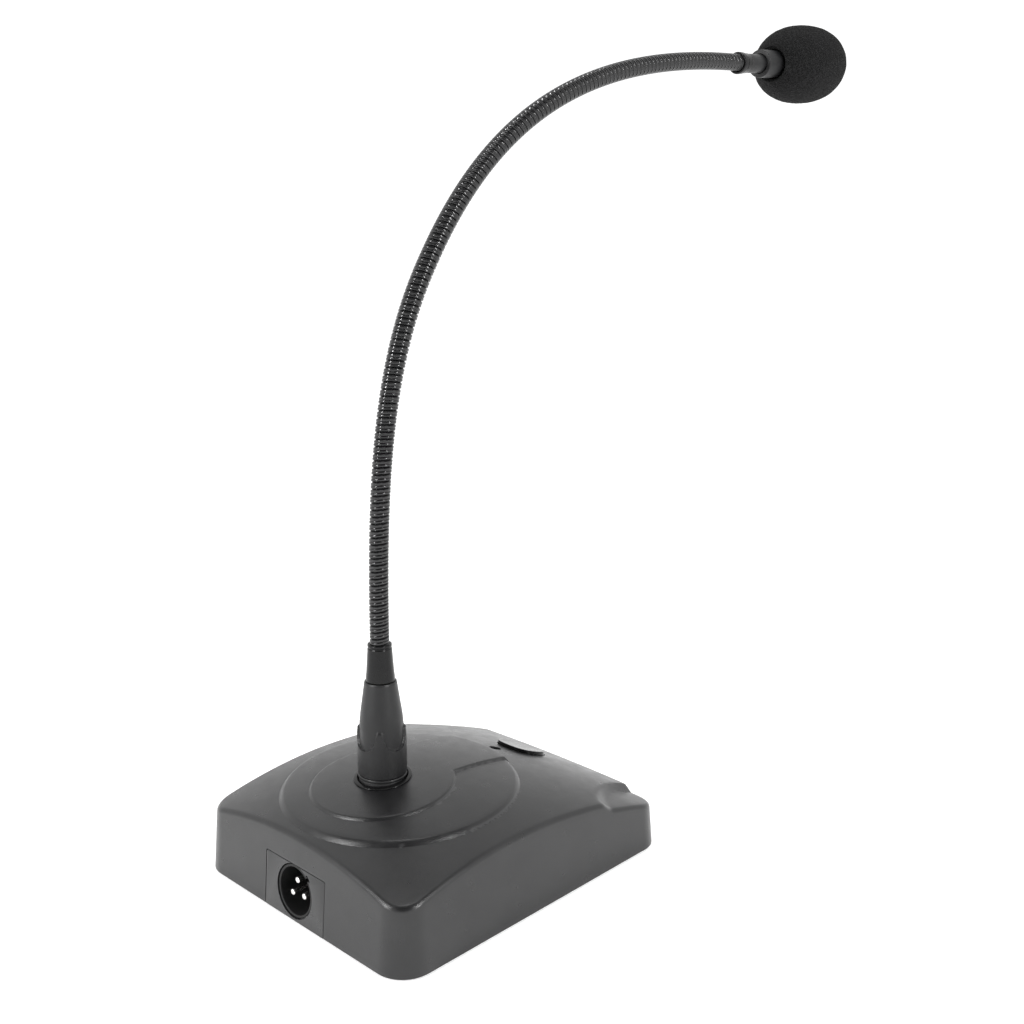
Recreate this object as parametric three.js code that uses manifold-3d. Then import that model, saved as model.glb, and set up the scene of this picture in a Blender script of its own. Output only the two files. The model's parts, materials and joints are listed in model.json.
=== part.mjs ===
// Gooseneck podium microphone: a weighted desk base, a plug-in gooseneck arm and a foam windscreen.
// Units are millimetres. +Z is up, +Y is the front, towards the person who speaks, and +X is the
// right of somebody who looks along +Y. The origin is the centre of the footprint on the desk.
import * as THREE from "three";
import { mergeVertices } from "three/addons/utils/BufferGeometryUtils.js";
import Module from "manifold-3d";

const wasm = await Module();
wasm.setup();

// ---- Driving dimensions ----

const GAP = 0.3; // clearance between pieces that touch or fit

const BASE_WIDTH = 117.3;
const BASE_LENGTH = 140;
const BASE_CORNER_RADIUS = 12;
const BASE_FOOT_Z = 0.5; // lower rim of the housing above the desk
const WALL = 2.5;
const WALL_DRAFT = 0.08; // inward lean of the walls, mm per mm of height
const SKIRT_TOP = 60; // any height over the roof

const CREST_Y = -12;
const CREST_HEIGHT = 40.3;
const EAVE_HEIGHT = 31.4; // top of the side walls, level with the crest
const REAR_DROP = 8; // fall of the roof from the crest to the rear wall
const FRONT_DROP = 20.2;
const FRONT_EAVE_DROP = 12.6;
const REAR_RUN = 55;
const FRONT_RUN = 80;

const SCOOP_HALF_X = 19; // finger scoops in the two front corners
const SCOOP_HALF_Y = 33;
const SCOOP_CENTRE_Y = 66;
const SCOOP_DEPTH = 2.8;
const SCOOP_SOFTNESS = 0.33;

const NECK_Y = -27.2;
const TERRACE_Y = -18.7; // outer raised ring on the roof
const TERRACE_RADIUS = 45.45;
const TERRACE_STEP = 1.4;
const TERRACE_RUN = 2.2;
const DISC_RADIUS = 27.5; // inner raised disc, around the neck
const DISC_STEP = 0.9;
const DISC_RUN = 1.3;
const TONGUE_HALF_WIDTH = 16; // raised strip from the disc to the front

const LED_Y = 32.3;
const LED_RADIUS = 2.2;
const BUTTON_Y = 47.8;
const BUTTON_HALF_X = 9.5;
const BUTTON_HALF_Y = 8.2;
const BUTTON_ROUNDNESS = 2.6; // superellipse exponent
const BUTTON_PROUD = 1.5;
const BUTTON_DEPTH = 2.6; // how far the cap reaches below the roof's outside

const XLR_Z = 11.66;
const XLR_FACE_Y = -68.2;
const XLR_NOTCH_FRONT_Y = -49; // the steel plate is cut away under the connector
const XLR_BORE_RADIUS = 8.74;
const XLR_SHELL_RADIUS = 9.8;
const XLR_PIN_RADIUS = 1.2;
const XLR_PIN_CIRCLE = 3.8;
const XLR_PIN_ANGLES = [90, -20, 215];
const XLR_KEY_ANGLE = 45;
const PANEL_WIDTH = 34;
const PANEL_TOP = 21.5;

const ARM_STRAIGHT_FOOT = 72; // the gooseneck's lower end, inside the plug
const TUBE_RADIUS = 3.5;
const LINK_COUNT = 9;
const LINK_GAP = 1.6; // leaves room for a 20 degree bend between two links
const FERRULE_TOP = 94.2;

const HEAD_Y = 191.7; // front face of the upper ferrule
const HEAD_Z = 312.6;
const HEAD_TILT = 4; // degrees above level
const UPPER_FERRULE_LENGTH = 6.3;

const FOAM_RADIUS = 17.4;
const FOAM_HALF_LENGTH = 27;
const FOAM_CENTRE = 46.4; // from the ferrule's front face, along the head
const FOAM_ROUNDNESS = 2.3;
const FOAM_MOUTH = 0.93; // where the rounded rear is cut flat, as a share of the half length
const FOAM_BORE_FRONT = 54.5;

// ---- Materials ----

const finish = (color, roughness, metalness) => ({ color, roughness, metalness });

const SATIN_BLACK = finish(0x26272a, 0.55, 0);
const GLOSS_BLACK = finish(0x101113, 0.22, 0);
const BLACK_INSERT = finish(0x141415, 0.6, 0);
const PAINTED_BLACK = finish(0x1b1c1e, 0.4, 0.4);
const FOAM_BLACK = finish(0x0d0d0e, 0.98, 0);
const PAD_BLACK = finish(0x1c1c1c, 0.95, 0);
const ZINC = finish(0xa9acb0, 0.35, 1);
const SILVER = finish(0xdedfe0, 0.2, 1);
const IRON = finish(0x4c4d50, 0.6, 0.9);
const BOARD_GREEN = finish(0x1f5a35, 0.5, 0);
const LED_CLEAR = finish(0x9aa0a4, 0.15, 0);
const WIRE_GREY = finish(0x3a3b3e, 0.5, 0);

// ---- Solids: geometry in, geometry out, with joins and cuts in between ----

function toSolid(geometry) {
  const bare = geometry.clone();
  bare.deleteAttribute("normal");
  bare.deleteAttribute("uv");
  const merged = mergeVertices(bare, 1e-4);
  return new wasm.Manifold(
    new wasm.Mesh({
      numProp: 3,
      vertProperties: Float32Array.from(merged.attributes.position.array),
      triVerts: Uint32Array.from(merged.index.array),
    }),
  );
}

function toGeometry(solid) {
  const mesh = solid.getMesh();
  const geometry = new THREE.BufferGeometry();
  geometry.setAttribute("position", new THREE.BufferAttribute(mesh.vertProperties, 3));
  geometry.setIndex(new THREE.BufferAttribute(mesh.triVerts, 1));
  geometry.computeVertexNormals();
  return geometry;
}

const intersect = (first, second) => toSolid(first).intersect(toSolid(second));

function subtractAll(solid, cutters) {
  return cutters.reduce((rest, cutter) => rest.subtract(toSolid(cutter)), solid);
}

function box(width, length, height, x, y, z) {
  return new THREE.BoxGeometry(width, length, height).translate(x, y, z);
}

function cylinder(radius, bottom, top, x = 0, y = 0, sides = 20) {
  return new THREE.CylinderGeometry(radius, radius, top - bottom, sides)
    .rotateX(Math.PI / 2)
    .translate(x, y, (bottom + top) / 2);
}

// A turned piece: the profile lists [radius, height] up the outside, about the Z axis.
function turned(profile, sides = 24) {
  const points = profile.map(([radius, height]) => new THREE.Vector2(radius, height));
  return new THREE.LatheGeometry(points, sides).rotateX(Math.PI / 2);
}

// A turned piece with an open middle: its profile comes back to where it starts.
const turnedRing = (profile, sides) => turned([...profile, profile[0]], sides);

function slab(shape, bottom, top, curveSegments = 5) {
  const settings = { depth: top - bottom, bevelEnabled: false, curveSegments };
  return new THREE.ExtrudeGeometry(shape, settings).translate(0, 0, bottom);
}

function roundedRectangle(width, length, radius) {
  const x = width / 2 - radius;
  const y = length / 2 - radius;
  const shape = new THREE.Shape();
  shape.absarc(x, y, radius, 0, Math.PI / 2);
  shape.absarc(-x, y, radius, Math.PI / 2, Math.PI);
  shape.absarc(-x, -y, radius, Math.PI, 1.5 * Math.PI);
  shape.absarc(x, -y, radius, 1.5 * Math.PI, 2 * Math.PI);
  return shape;
}

function superellipse(halfX, halfY, roundness, centreY, count = 32) {
  const bulge = (value) => Math.sign(value) * Math.abs(value) ** (2 / roundness);
  const points = Array.from({ length: count }, (_, i) => {
    const angle = (2 * Math.PI * i) / count;
    return new THREE.Vector2(halfX * bulge(Math.cos(angle)), centreY + halfY * bulge(Math.sin(angle)));
  });
  return new THREE.Shape(points);
}

function hole(radius, x, y, sides = 12) {
  const path = new THREE.Path();
  for (let i = 0; i < sides; i += 1) {
    const angle = (-2 * Math.PI * i) / sides;
    const [px, py] = [x + radius * Math.cos(angle), y + radius * Math.sin(angle)];
    if (i === 0) path.moveTo(px, py);
    else path.lineTo(px, py);
  }
  path.closePath();
  return path;
}

function piece(name, geometry, material, parent) {
  const mesh = new THREE.Mesh(geometry, new THREE.MeshStandardMaterial(material));
  mesh.name = name;
  parent.add(mesh);
  return mesh;
}

const polar = (radius, degrees) => [
  radius * Math.cos(THREE.MathUtils.degToRad(degrees)),
  radius * Math.sin(THREE.MathUtils.degToRad(degrees)),
];

// ---- The roof of the base, as a height over the desk ----

function ramp(distance, run) {
  return THREE.MathUtils.smoothstep(distance / run, 0, 1);
}

function roofHeight(x, y) {
  const behind = y < CREST_Y;
  const run = (y - CREST_Y) / (behind ? REAR_RUN : FRONT_RUN);
  const crown = CREST_HEIGHT - (behind ? REAR_DROP : FRONT_DROP) * run ** 2;
  const eave = EAVE_HEIGHT - (behind ? REAR_DROP : FRONT_EAVE_DROP) * run ** 2;
  const across = (2 * x) / BASE_WIDTH;
  return crown - (crown - eave) * across ** 2 + reliefHeight(x, y) - scoopDepth(x, y);
}

function reliefHeight(x, y) {
  const insideTerrace = TERRACE_RADIUS - Math.hypot(x, y - TERRACE_Y);
  const insideDisc = DISC_RADIUS - Math.hypot(x, y - NECK_Y);
  const insideTongue = Math.min(TONGUE_HALF_WIDTH - Math.abs(x), y - NECK_Y);
  const terrace = ramp(insideTerrace, TERRACE_RUN);
  const disc = ramp(Math.max(insideDisc, insideTongue), DISC_RUN);
  return terrace * (TERRACE_STEP + DISC_STEP * disc);
}

function scoopDepth(x, y) {
  const acrossX = (BASE_WIDTH / 2 - Math.abs(x)) / SCOOP_HALF_X;
  const acrossY = (SCOOP_CENTRE_Y - y) / SCOOP_HALF_Y;
  return SCOOP_DEPTH * ramp(1 - Math.hypot(acrossX, acrossY), SCOOP_SOFTNESS);
}

// A block of the base's footprint whose top is the roof, moved up or down by an offset.
function roofBlock(offset, columns, rows) {
  const geometry = new THREE.BoxGeometry(BASE_WIDTH + 4, BASE_LENGTH + 4, 1, columns, rows, 1);
  const position = geometry.attributes.position;
  for (let i = 0; i < position.count; i += 1) {
    const top = position.getZ(i) > 0;
    position.setZ(i, top ? roofHeight(position.getX(i), position.getY(i)) + offset : -2);
  }
  return geometry;
}

// The walls' prism, which leans in as it rises; an inset of the wall's thickness gives its inside.
function skirtPrism(inset, bottom) {
  const width = BASE_WIDTH - 2 * inset;
  const length = BASE_LENGTH - 2 * inset;
  const radius = BASE_CORNER_RADIUS - inset;
  const geometry = slab(roundedRectangle(width, length, radius), bottom, SKIRT_TOP);
  const position = geometry.attributes.position;
  for (let i = 0; i < position.count; i += 1) {
    const lean = WALL_DRAFT * position.getZ(i);
    position.setX(i, position.getX(i) * (1 - (2 * lean) / width));
    position.setY(i, position.getY(i) * (1 - (2 * lean) / length));
  }
  return geometry;
}

// ---- The base ----

const PLATE_BOTTOM = 1.8;
const PLATE_TOP = 3.8;
const PLATE_SCREWS = [-1, 1].flatMap((i) => [-1, 1].map((j) => [46 * i, 57 * j]));
const BOSS_RADIUS = 4;
const SCREW_RADIUS = 1.5;
const SCREW_HOLE = SCREW_RADIUS + GAP;
const SCREW_DEPTH = 12;

const BOARD = { width: 44, length: 38, corner: 1.5 };
const BOARD_BOTTOM = 13;
const BOARD_TOP = 14.6;
const BOARD_Y = 42;
const BOARD_SCREWS = [[-17, 28], [17, 28]];
const BOARD_BOSS_RADIUS = 3;
const BOARD_SCREW_TOP = 20;

const SOCKET_RADIUS = 10.2;
const SOCKET_TOP = roofHeight(0, NECK_Y);

const SCREW_HEAD_RADIUS = 3;

// A pan-head screw with its head under a face, and its shank standing up from it.
function screw(faceZ, tipZ, headHeight) {
  const headTop = faceZ - GAP;
  return turned([
    [0, headTop - headHeight],
    [SCREW_HEAD_RADIUS * 0.7, headTop - headHeight],
    [SCREW_HEAD_RADIUS, headTop - headHeight * 0.6],
    [SCREW_HEAD_RADIUS, headTop],
    [SCREW_RADIUS, headTop],
    [SCREW_RADIUS, tipZ - 1],
    [0, tipZ],
  ], 10);
}

function buttonOutline(growth) {
  return superellipse(BUTTON_HALF_X + growth, BUTTON_HALF_Y + growth, BUTTON_ROUNDNESS, BUTTON_Y);
}

function baseHousing() {
  const outside = intersect(roofBlock(0, 26, 30), skirtPrism(0, BASE_FOOT_Z));
  const inside = intersect(roofBlock(-WALL, 12, 14), skirtPrism(WALL, -1));
  const bosses = [
    ...PLATE_SCREWS.map(([x, y]) => cylinder(BOSS_RADIUS, PLATE_TOP + GAP, SKIRT_TOP, x, y, 12)),
    ...BOARD_SCREWS.map(([x, y]) => cylinder(BOARD_BOSS_RADIUS, BOARD_TOP + GAP, SKIRT_TOP, x, y, 12)),
  ];
  const shell = bosses.reduce(
    (built, boss) => built.add(toSolid(boss).intersect(outside)),
    outside.subtract(inside),
  );
  return toGeometry(subtractAll(shell, [
    ...PLATE_SCREWS.map(([x, y]) => cylinder(SCREW_HOLE, 0, SCREW_DEPTH, x, y, 12)),
    ...BOARD_SCREWS.map(([x, y]) => cylinder(SCREW_HOLE, 0, BOARD_SCREW_TOP, x, y, 12)),
    box(PANEL_WIDTH + 2 * GAP, 12, PANEL_TOP + GAP, 0, -BASE_LENGTH / 2, (PANEL_TOP + GAP) / 2),
    cylinder(SOCKET_RADIUS + GAP, 20, SKIRT_TOP, 0, NECK_Y, 24),
    cylinder(LED_RADIUS + GAP, 20, SKIRT_TOP, 0, LED_Y, 16),
    slab(buttonOutline(0.4), 18, SKIRT_TOP),
  ]));
}

function connectorPanel() {
  const wall = toSolid(skirtPrism(0, BASE_FOOT_Z)).subtract(toSolid(skirtPrism(WALL, -1)));
  const height = PANEL_TOP - BASE_FOOT_Z;
  const window = box(PANEL_WIDTH, 12, height, 0, -BASE_LENGTH / 2, BASE_FOOT_Z + height / 2);
  const bore = cylinder(XLR_SHELL_RADIUS + GAP, -8, 8, 0, 0, 24)
    .rotateX(Math.PI / 2)
    .translate(0, XLR_FACE_Y, XLR_Z);
  return toGeometry(wall.intersect(toSolid(window)).subtract(toSolid(bore)));
}

function bottomPlate() {
  const inset = WALL + GAP + WALL_DRAFT * PLATE_TOP;
  const width = BASE_WIDTH - 2 * inset;
  const length = BASE_LENGTH - 2 * inset;
  const shape = roundedRectangle(width, length, BASE_CORNER_RADIUS - inset);
  shape.holes = PLATE_SCREWS.map(([x, y]) => hole(SCREW_HOLE, x, y));
  const notchWidth = 2 * XLR_SHELL_RADIUS + 2;
  const notchLength = XLR_NOTCH_FRONT_Y + BASE_LENGTH / 2;
  const notch = box(notchWidth, notchLength, 10, 0, XLR_NOTCH_FRONT_Y - notchLength / 2, 0);
  return toGeometry(subtractAll(toSolid(slab(shape, PLATE_BOTTOM, PLATE_TOP)), [notch]));
}

const PAD = { width: 80, length: 104, corner: 6 };
const BALLAST = { width: 80, length: 46, y: -20, bottom: PLATE_TOP + GAP, top: 11.1, screwX: 32 };

function ballastWeight() {
  const shape = new THREE.Shape([
    new THREE.Vector2(-BALLAST.width / 2, BALLAST.y - BALLAST.length / 2),
    new THREE.Vector2(BALLAST.width / 2, BALLAST.y - BALLAST.length / 2),
    new THREE.Vector2(BALLAST.width / 2, BALLAST.y + BALLAST.length / 2),
    new THREE.Vector2(-BALLAST.width / 2, BALLAST.y + BALLAST.length / 2),
  ]);
  shape.holes = [-1, 1].map((side) => hole(SCREW_HOLE, side * BALLAST.screwX, BALLAST.y));
  return slab(shape, BALLAST.bottom, BALLAST.top);
}

function buildCasing(base) {
  piece("base_housing", baseHousing(), SATIN_BLACK, base);
  piece("connector_panel", connectorPanel(), SATIN_BLACK, base);
  piece("bottom_plate", bottomPlate(), ZINC, base);
  const pad = slab(roundedRectangle(PAD.width, PAD.length, PAD.corner), 0, PLATE_BOTTOM - GAP);
  piece("antislip_pad", pad, PAD_BLACK, base);
  PLATE_SCREWS.forEach(([x, y], i) => {
    const mesh = piece(`plate_screw_${i + 1}`, screw(PLATE_BOTTOM, SCREW_DEPTH - GAP, 1), ZINC, base);
    mesh.position.set(x, y, 0);
  });
  piece("ballast_weight", ballastWeight(), IRON, base);
  [-1, 1].forEach((side, i) => {
    const length = BALLAST.top - PLATE_TOP - GAP;
    const mesh = piece(`ballast_screw_${i + 1}`, screw(0, length, 1.2), ZINC, base);
    mesh.rotation.x = Math.PI;
    mesh.position.set(side * BALLAST.screwX, BALLAST.y, BALLAST.top);
  });
}

// ---- Rear output connector, built about its own axis, which points out of the rear panel ----

const XLR_DEPTH = 15;
const XLR_BACK = -18;
const XLR_KEY_WIDTH = 2.4;

function xlrOutputShell() {
  const cup = turned([
    [0, XLR_BACK],
    [XLR_SHELL_RADIUS, XLR_BACK],
    [XLR_SHELL_RADIUS, 0],
    [XLR_BORE_RADIUS, 0],
    [XLR_BORE_RADIUS, -XLR_DEPTH],
    [0, -XLR_DEPTH],
  ]);
  const keyway = box(2, XLR_KEY_WIDTH, XLR_DEPTH, XLR_BORE_RADIUS - 0.4, 0, -XLR_DEPTH / 2 + 1)
    .rotateZ(THREE.MathUtils.degToRad(XLR_KEY_ANGLE));
  const pinHoles = XLR_PIN_ANGLES.map((angle) =>
    cylinder(XLR_PIN_RADIUS + GAP, XLR_BACK - 1, 1 - XLR_DEPTH, ...polar(XLR_PIN_CIRCLE, angle), 12));
  return toGeometry(subtractAll(toSolid(cup), [keyway, ...pinHoles]));
}

// A contact pin with a rounded nose at its upper end and a thinner solder tail below.
function contactPin(tail, shoulder, nose) {
  return turned([
    [0, tail],
    [XLR_PIN_RADIUS * 0.8, tail],
    [XLR_PIN_RADIUS * 0.8, shoulder],
    [XLR_PIN_RADIUS, shoulder],
    [XLR_PIN_RADIUS, nose - XLR_PIN_RADIUS],
    [XLR_PIN_RADIUS * 0.7, nose - XLR_PIN_RADIUS * 0.3],
    [0, nose],
  ], 12);
}

function placePins(name, geometry, material, parent, mirror = 1) {
  XLR_PIN_ANGLES.forEach((angle, i) => {
    const mesh = piece(`${name}_${i + 1}`, geometry, material, parent);
    const [x, y] = polar(XLR_PIN_CIRCLE, angle);
    mesh.position.set(mirror * x, y, 0);
  });
}

function buildOutputConnector(base) {
  const connector = new THREE.Group();
  connector.position.set(0, XLR_FACE_Y, XLR_Z);
  connector.rotation.x = Math.PI / 2;
  base.add(connector);
  piece("xlr_output_shell", xlrOutputShell(), BLACK_INSERT, connector);
  placePins("xlr_output_pin", contactPin(XLR_BACK - 3, XLR_BACK, -0.5), SILVER, connector);
}

// ---- Neck socket, built about the neck's axis ----

const SOCKET_BOTTOM = 22;
const SOCKET_RIM = SOCKET_TOP - 1.3; // below the ring
const SOCKET_GROOVE_INNER = 7.5;
const SOCKET_GROOVE_OUTER = 9.2;
const SOCKET_GROOVE_BOTTOM = 29;
const SPIGOT_RADIUS = SOCKET_GROOVE_OUTER - GAP;
const SPIGOT_BORE = SOCKET_GROOVE_INNER + GAP;
const CONTACT_RADIUS = 1.9;
const CONTACT_BORE = XLR_PIN_RADIUS + 0.15;
const PLUG_PIN_TIP = 31;

function neckSocket() {
  const body = turned([
    [0, SOCKET_BOTTOM],
    [SOCKET_RADIUS, SOCKET_BOTTOM],
    [SOCKET_RADIUS, SOCKET_RIM],
    [SOCKET_GROOVE_OUTER, SOCKET_RIM],
    [SOCKET_GROOVE_OUTER, SOCKET_GROOVE_BOTTOM],
    [SOCKET_GROOVE_INNER, SOCKET_GROOVE_BOTTOM],
    [SOCKET_GROOVE_INNER, SOCKET_TOP - 1],
    [0, SOCKET_TOP - 1],
  ]);
  const wells = XLR_PIN_ANGLES.map((angle) =>
    cylinder(CONTACT_RADIUS + GAP, SOCKET_BOTTOM - 1, SKIRT_TOP, ...polar(XLR_PIN_CIRCLE, angle), 12));
  return toGeometry(subtractAll(toSolid(body), wells));
}

function socketContact() {
  const top = SOCKET_TOP - 1.5;
  return turned([
    [0, SOCKET_BOTTOM - 4],
    [1, SOCKET_BOTTOM - 4],
    [1, SOCKET_BOTTOM - 1],
    [CONTACT_RADIUS, SOCKET_BOTTOM - 1],
    [CONTACT_RADIUS, top],
    [CONTACT_BORE, top],
    [CONTACT_BORE, PLUG_PIN_TIP - 2],
    [0, PLUG_PIN_TIP - 2],
  ], 12);
}

// The ring follows the slope of the roof under it.
function socketRing() {
  const [inner, outer] = [SPIGOT_RADIUS + 0.6, SOCKET_RADIUS + 0.7];
  const top = GAP + 0.6;
  const geometry = turnedRing([[inner, GAP], [outer, GAP], [outer - 0.3, top], [inner, top]]);
  const position = geometry.attributes.position;
  for (let i = 0; i < position.count; i += 1) {
    const roof = roofHeight(position.getX(i), NECK_Y + position.getY(i));
    position.setZ(i, position.getZ(i) + roof);
  }
  return geometry;
}

function buildNeckSocket(base) {
  const socket = new THREE.Group();
  socket.position.y = NECK_Y;
  base.add(socket);
  piece("neck_socket", neckSocket(), BLACK_INSERT, socket);
  piece("socket_ring", socketRing(), GLOSS_BLACK, socket);
  placePins("socket_contact", socketContact(), SILVER, socket);
}

// ---- Circuit board, switch, button and LED ----

const SWITCH_SIDE = 9;
const SWITCH_TOP = 22.7;
const SWITCH_BORE_BOTTOM = 16.5;
const PLUNGER_RADIUS = 2.4;
const PLUNGER_BOTTOM = 19;
const PLUNGER_TOP = 25.2;

function circuitBoard() {
  const shape = roundedRectangle(BOARD.width, BOARD.length, BOARD.corner);
  shape.holes = BOARD_SCREWS.map(([x, y]) => hole(SCREW_HOLE, x, y - BOARD_Y));
  return slab(shape, BOARD_BOTTOM, BOARD_TOP, 2).translate(0, BOARD_Y, 0);
}

function pushSwitch() {
  const [bottom, middle] = [BOARD_TOP + GAP, (BOARD_TOP + GAP + SWITCH_TOP) / 2];
  const body = toSolid(box(SWITCH_SIDE, SWITCH_SIDE, SWITCH_TOP - bottom, 0, 0, middle));
  return toGeometry(subtractAll(body, [cylinder(PLUNGER_RADIUS + GAP, SWITCH_BORE_BOTTOM, SKIRT_TOP)]));
}

// The cap has the roof's own slope, so it stays parallel with the roof as it travels straight down.
function powerButton() {
  const above = roofBlock(BUTTON_PROUD, 20, 30);
  const below = roofBlock(-BUTTON_DEPTH, 20, 30);
  const cap = toSolid(slab(buttonOutline(0), 10, SKIRT_TOP)).intersect(toSolid(above));
  return toGeometry(cap.subtract(toSolid(below)));
}

function statusLed() {
  const top = roofHeight(0, LED_Y) - 0.2;
  const foot = top - 5;
  const lens = toSolid(turned([
    [0, foot],
    [LED_RADIUS, foot],
    [LED_RADIUS, top - 1],
    [LED_RADIUS * 0.75, top - 0.3],
    [0, top],
  ], 16));
  const leadBottom = BOARD_TOP + GAP;
  const leads = [-1, 1].map((side) =>
    toSolid(box(0.6, 0.6, foot + 1 - leadBottom, side * 1.27, 0, (foot + 1 + leadBottom) / 2)));
  return toGeometry(leads.reduce((built, lead) => built.add(lead), lens)).translate(0, LED_Y, 0);
}

function wireBundle(points) {
  const section = new THREE.Shape(superellipse(1.2, 1.2, 2, 0, 8).getPoints());
  const extrudePath = new THREE.CatmullRomCurve3(points.map((point) => new THREE.Vector3(...point)));
  return new THREE.ExtrudeGeometry(section, { steps: 16, bevelEnabled: false, extrudePath });
}

function buildElectronics(base) {
  piece("circuit_board", circuitBoard(), BOARD_GREEN, base);
  BOARD_SCREWS.forEach(([x, y], i) => {
    const geometry = screw(BOARD_BOTTOM, BOARD_SCREW_TOP - GAP, 1.2);
    piece(`board_screw_${i + 1}`, geometry, ZINC, base).position.set(x, y, 0);
  });
  piece("push_switch", pushSwitch(), BLACK_INSERT, base).position.y = BUTTON_Y;
  piece("switch_plunger", cylinder(PLUNGER_RADIUS, PLUNGER_BOTTOM, PLUNGER_TOP), SILVER, base)
    .position.y = BUTTON_Y;
  piece("power_button", powerButton(), GLOSS_BLACK, base);
  piece("status_led", statusLed(), LED_CLEAR, base);
  const outputRoute = [[12, 22, 16.4], [17, 4, 14.5], [15, -25, 13.6], [6, -42, 13], [0.6, -46.6, 12.4]];
  const socketRoute = [[-12, 22, 16.4], [-9, 4, 15], [-3, -12, 14.2], [0, -22, 14.4]];
  piece("output_wires", wireBundle(outputRoute), WIRE_GREY, base);
  piece("socket_wires", wireBundle(socketRoute), WIRE_GREY, base);
}

// ---- Plug and lower ferrule, built about the neck's axis ----

const SEAM_Z = 79.9;
const PLUG_INSERT_BOTTOM = 43.5;
const PLUG_INSERT_TOP = 51;
const PLUG_CAVITY_TOP = 62;
const TUBE_BORE = TUBE_RADIUS + GAP;

function plugShell() {
  const shoulder = SOCKET_TOP + 0.7;
  return turnedRing([
    [SPIGOT_BORE, SOCKET_GROOVE_BOTTOM + 1],
    [SPIGOT_RADIUS, SOCKET_GROOVE_BOTTOM + 1],
    [SPIGOT_RADIUS, shoulder],
    [9.15, shoulder + 0.3],
    [9.0, 54],
    [8.85, 60],
    [8.15, 64],
    [7.85, 68],
    [7.25, 72],
    [6.7, 76],
    [6.0, SEAM_Z],
    [TUBE_BORE, SEAM_Z],
    [TUBE_BORE, PLUG_CAVITY_TOP + 2],
    [7.2, PLUG_CAVITY_TOP],
    [SPIGOT_BORE, PLUG_INSERT_TOP],
  ]);
}

function plugInsert() {
  const disc = cylinder(SPIGOT_BORE - GAP, PLUG_INSERT_BOTTOM, PLUG_INSERT_TOP);
  const pinHoles = XLR_PIN_ANGLES.map((angle) =>
    cylinder(XLR_PIN_RADIUS + GAP, 40, 60, ...polar(XLR_PIN_CIRCLE, angle), 12));
  return toGeometry(subtractAll(toSolid(disc), pinHoles));
}

function lowerFerrule() {
  const foot = SEAM_Z + GAP;
  return turnedRing([
    [TUBE_BORE, foot],
    [5.4, foot],
    [4.85, 87.6],
    [4.5, FERRULE_TOP - 0.6],
    [4.3, FERRULE_TOP],
    [TUBE_BORE, FERRULE_TOP],
  ]);
}

// The pins point down, so the piece is turned over: its nose is PLUG_PIN_TIP above the desk.
function plugPin() {
  return contactPin(-PLUG_INSERT_TOP - 3, -PLUG_INSERT_TOP, -PLUG_PIN_TIP).rotateX(Math.PI);
}

function buildPlug(arm) {
  const plug = new THREE.Group();
  plug.position.y = NECK_Y;
  arm.add(plug);
  piece("plug_shell", plugShell(), SATIN_BLACK, plug);
  piece("plug_insert", plugInsert(), BLACK_INSERT, plug);
  placePins("plug_pin", plugPin(), SILVER, plug);
  piece("lower_ferrule", lowerFerrule(), GLOSS_BLACK, plug);
}

// ---- Gooseneck: straight up out of the plug, then one long sweep forwards ----

const SWEEP_JOIN = new THREE.Vector3(0, -3, 226.7);

function gooseneckCurve() {
  const foot = new THREE.Vector3(0, NECK_Y, ARM_STRAIGHT_FOOT);
  const rise = new THREE.Vector3(0, NECK_Y, 92);
  const curve = new THREE.CurvePath();
  curve.add(new THREE.LineCurve3(foot, rise));
  curve.add(new THREE.CubicBezierCurve3(
    rise, new THREE.Vector3(0, NECK_Y, 152.6), new THREE.Vector3(0, -23.3, 193.3), SWEEP_JOIN));
  curve.add(new THREE.CubicBezierCurve3(
    SWEEP_JOIN,
    new THREE.Vector3(0, 27.3, 276.8),
    new THREE.Vector3(0, 75.1, 309.4),
    new THREE.Vector3(0, HEAD_Y, HEAD_Z)));
  return curve;
}

// One stretch of a longer curve, between two distances along it.
class Stretch extends THREE.Curve {
  constructor(whole, start, end) {
    super();
    this.whole = whole;
    this.start = start;
    this.end = end;
  }

  getPoint(t, target = new THREE.Vector3()) {
    const distance = this.start + t * (this.end - this.start);
    return target.copy(this.whole.getPointAt(distance / this.whole.getLength()));
  }
}

function buildGooseneck(arm) {
  const curve = gooseneckCurve();
  const first = FERRULE_TOP - ARM_STRAIGHT_FOOT;
  const total = curve.getLength();
  const last = total - UPPER_FERRULE_LENGTH;
  const spacing = (last - first) / LINK_COUNT;
  for (let i = 0; i < LINK_COUNT; i += 1) {
    const start = i === 0 ? 0 : first + i * spacing + LINK_GAP / 2;
    const end = i === LINK_COUNT - 1 ? total - GAP : first + (i + 1) * spacing - LINK_GAP / 2;
    const extrudePath = new Stretch(curve, start, end);
    const section = superellipse(TUBE_RADIUS, TUBE_RADIUS, 2, 0, 12);
    const settings = { steps: 6, bevelEnabled: false, extrudePath };
    piece(`gooseneck_link_${i + 1}`, new THREE.ExtrudeGeometry(section, settings), PAINTED_BLACK, arm);
  }
}

// ---- Microphone head, built about its own axis, with zero at the upper ferrule's front face ----

const STEM_RADIUS = 4.1;
const STEM_BORE = 2.4;
const STEM_LENGTH = 15;
const HOUSING_RADIUS = 6.05;
const HOUSING_REAR = 11.5;
const HOUSING_FRONT = 52;
const HOUSING_BORE = 5.4;

function upperFerrule() {
  const bore = TUBE_RADIUS + 0.5;
  return turnedRing([
    [bore, -UPPER_FERRULE_LENGTH],
    [4.6, -UPPER_FERRULE_LENGTH],
    [4.7, 0.5 - UPPER_FERRULE_LENGTH],
    [4.7, -3.5],
    [4.4, -2.6],
    [4.4, 0],
    [bore, 0],
  ]);
}

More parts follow.
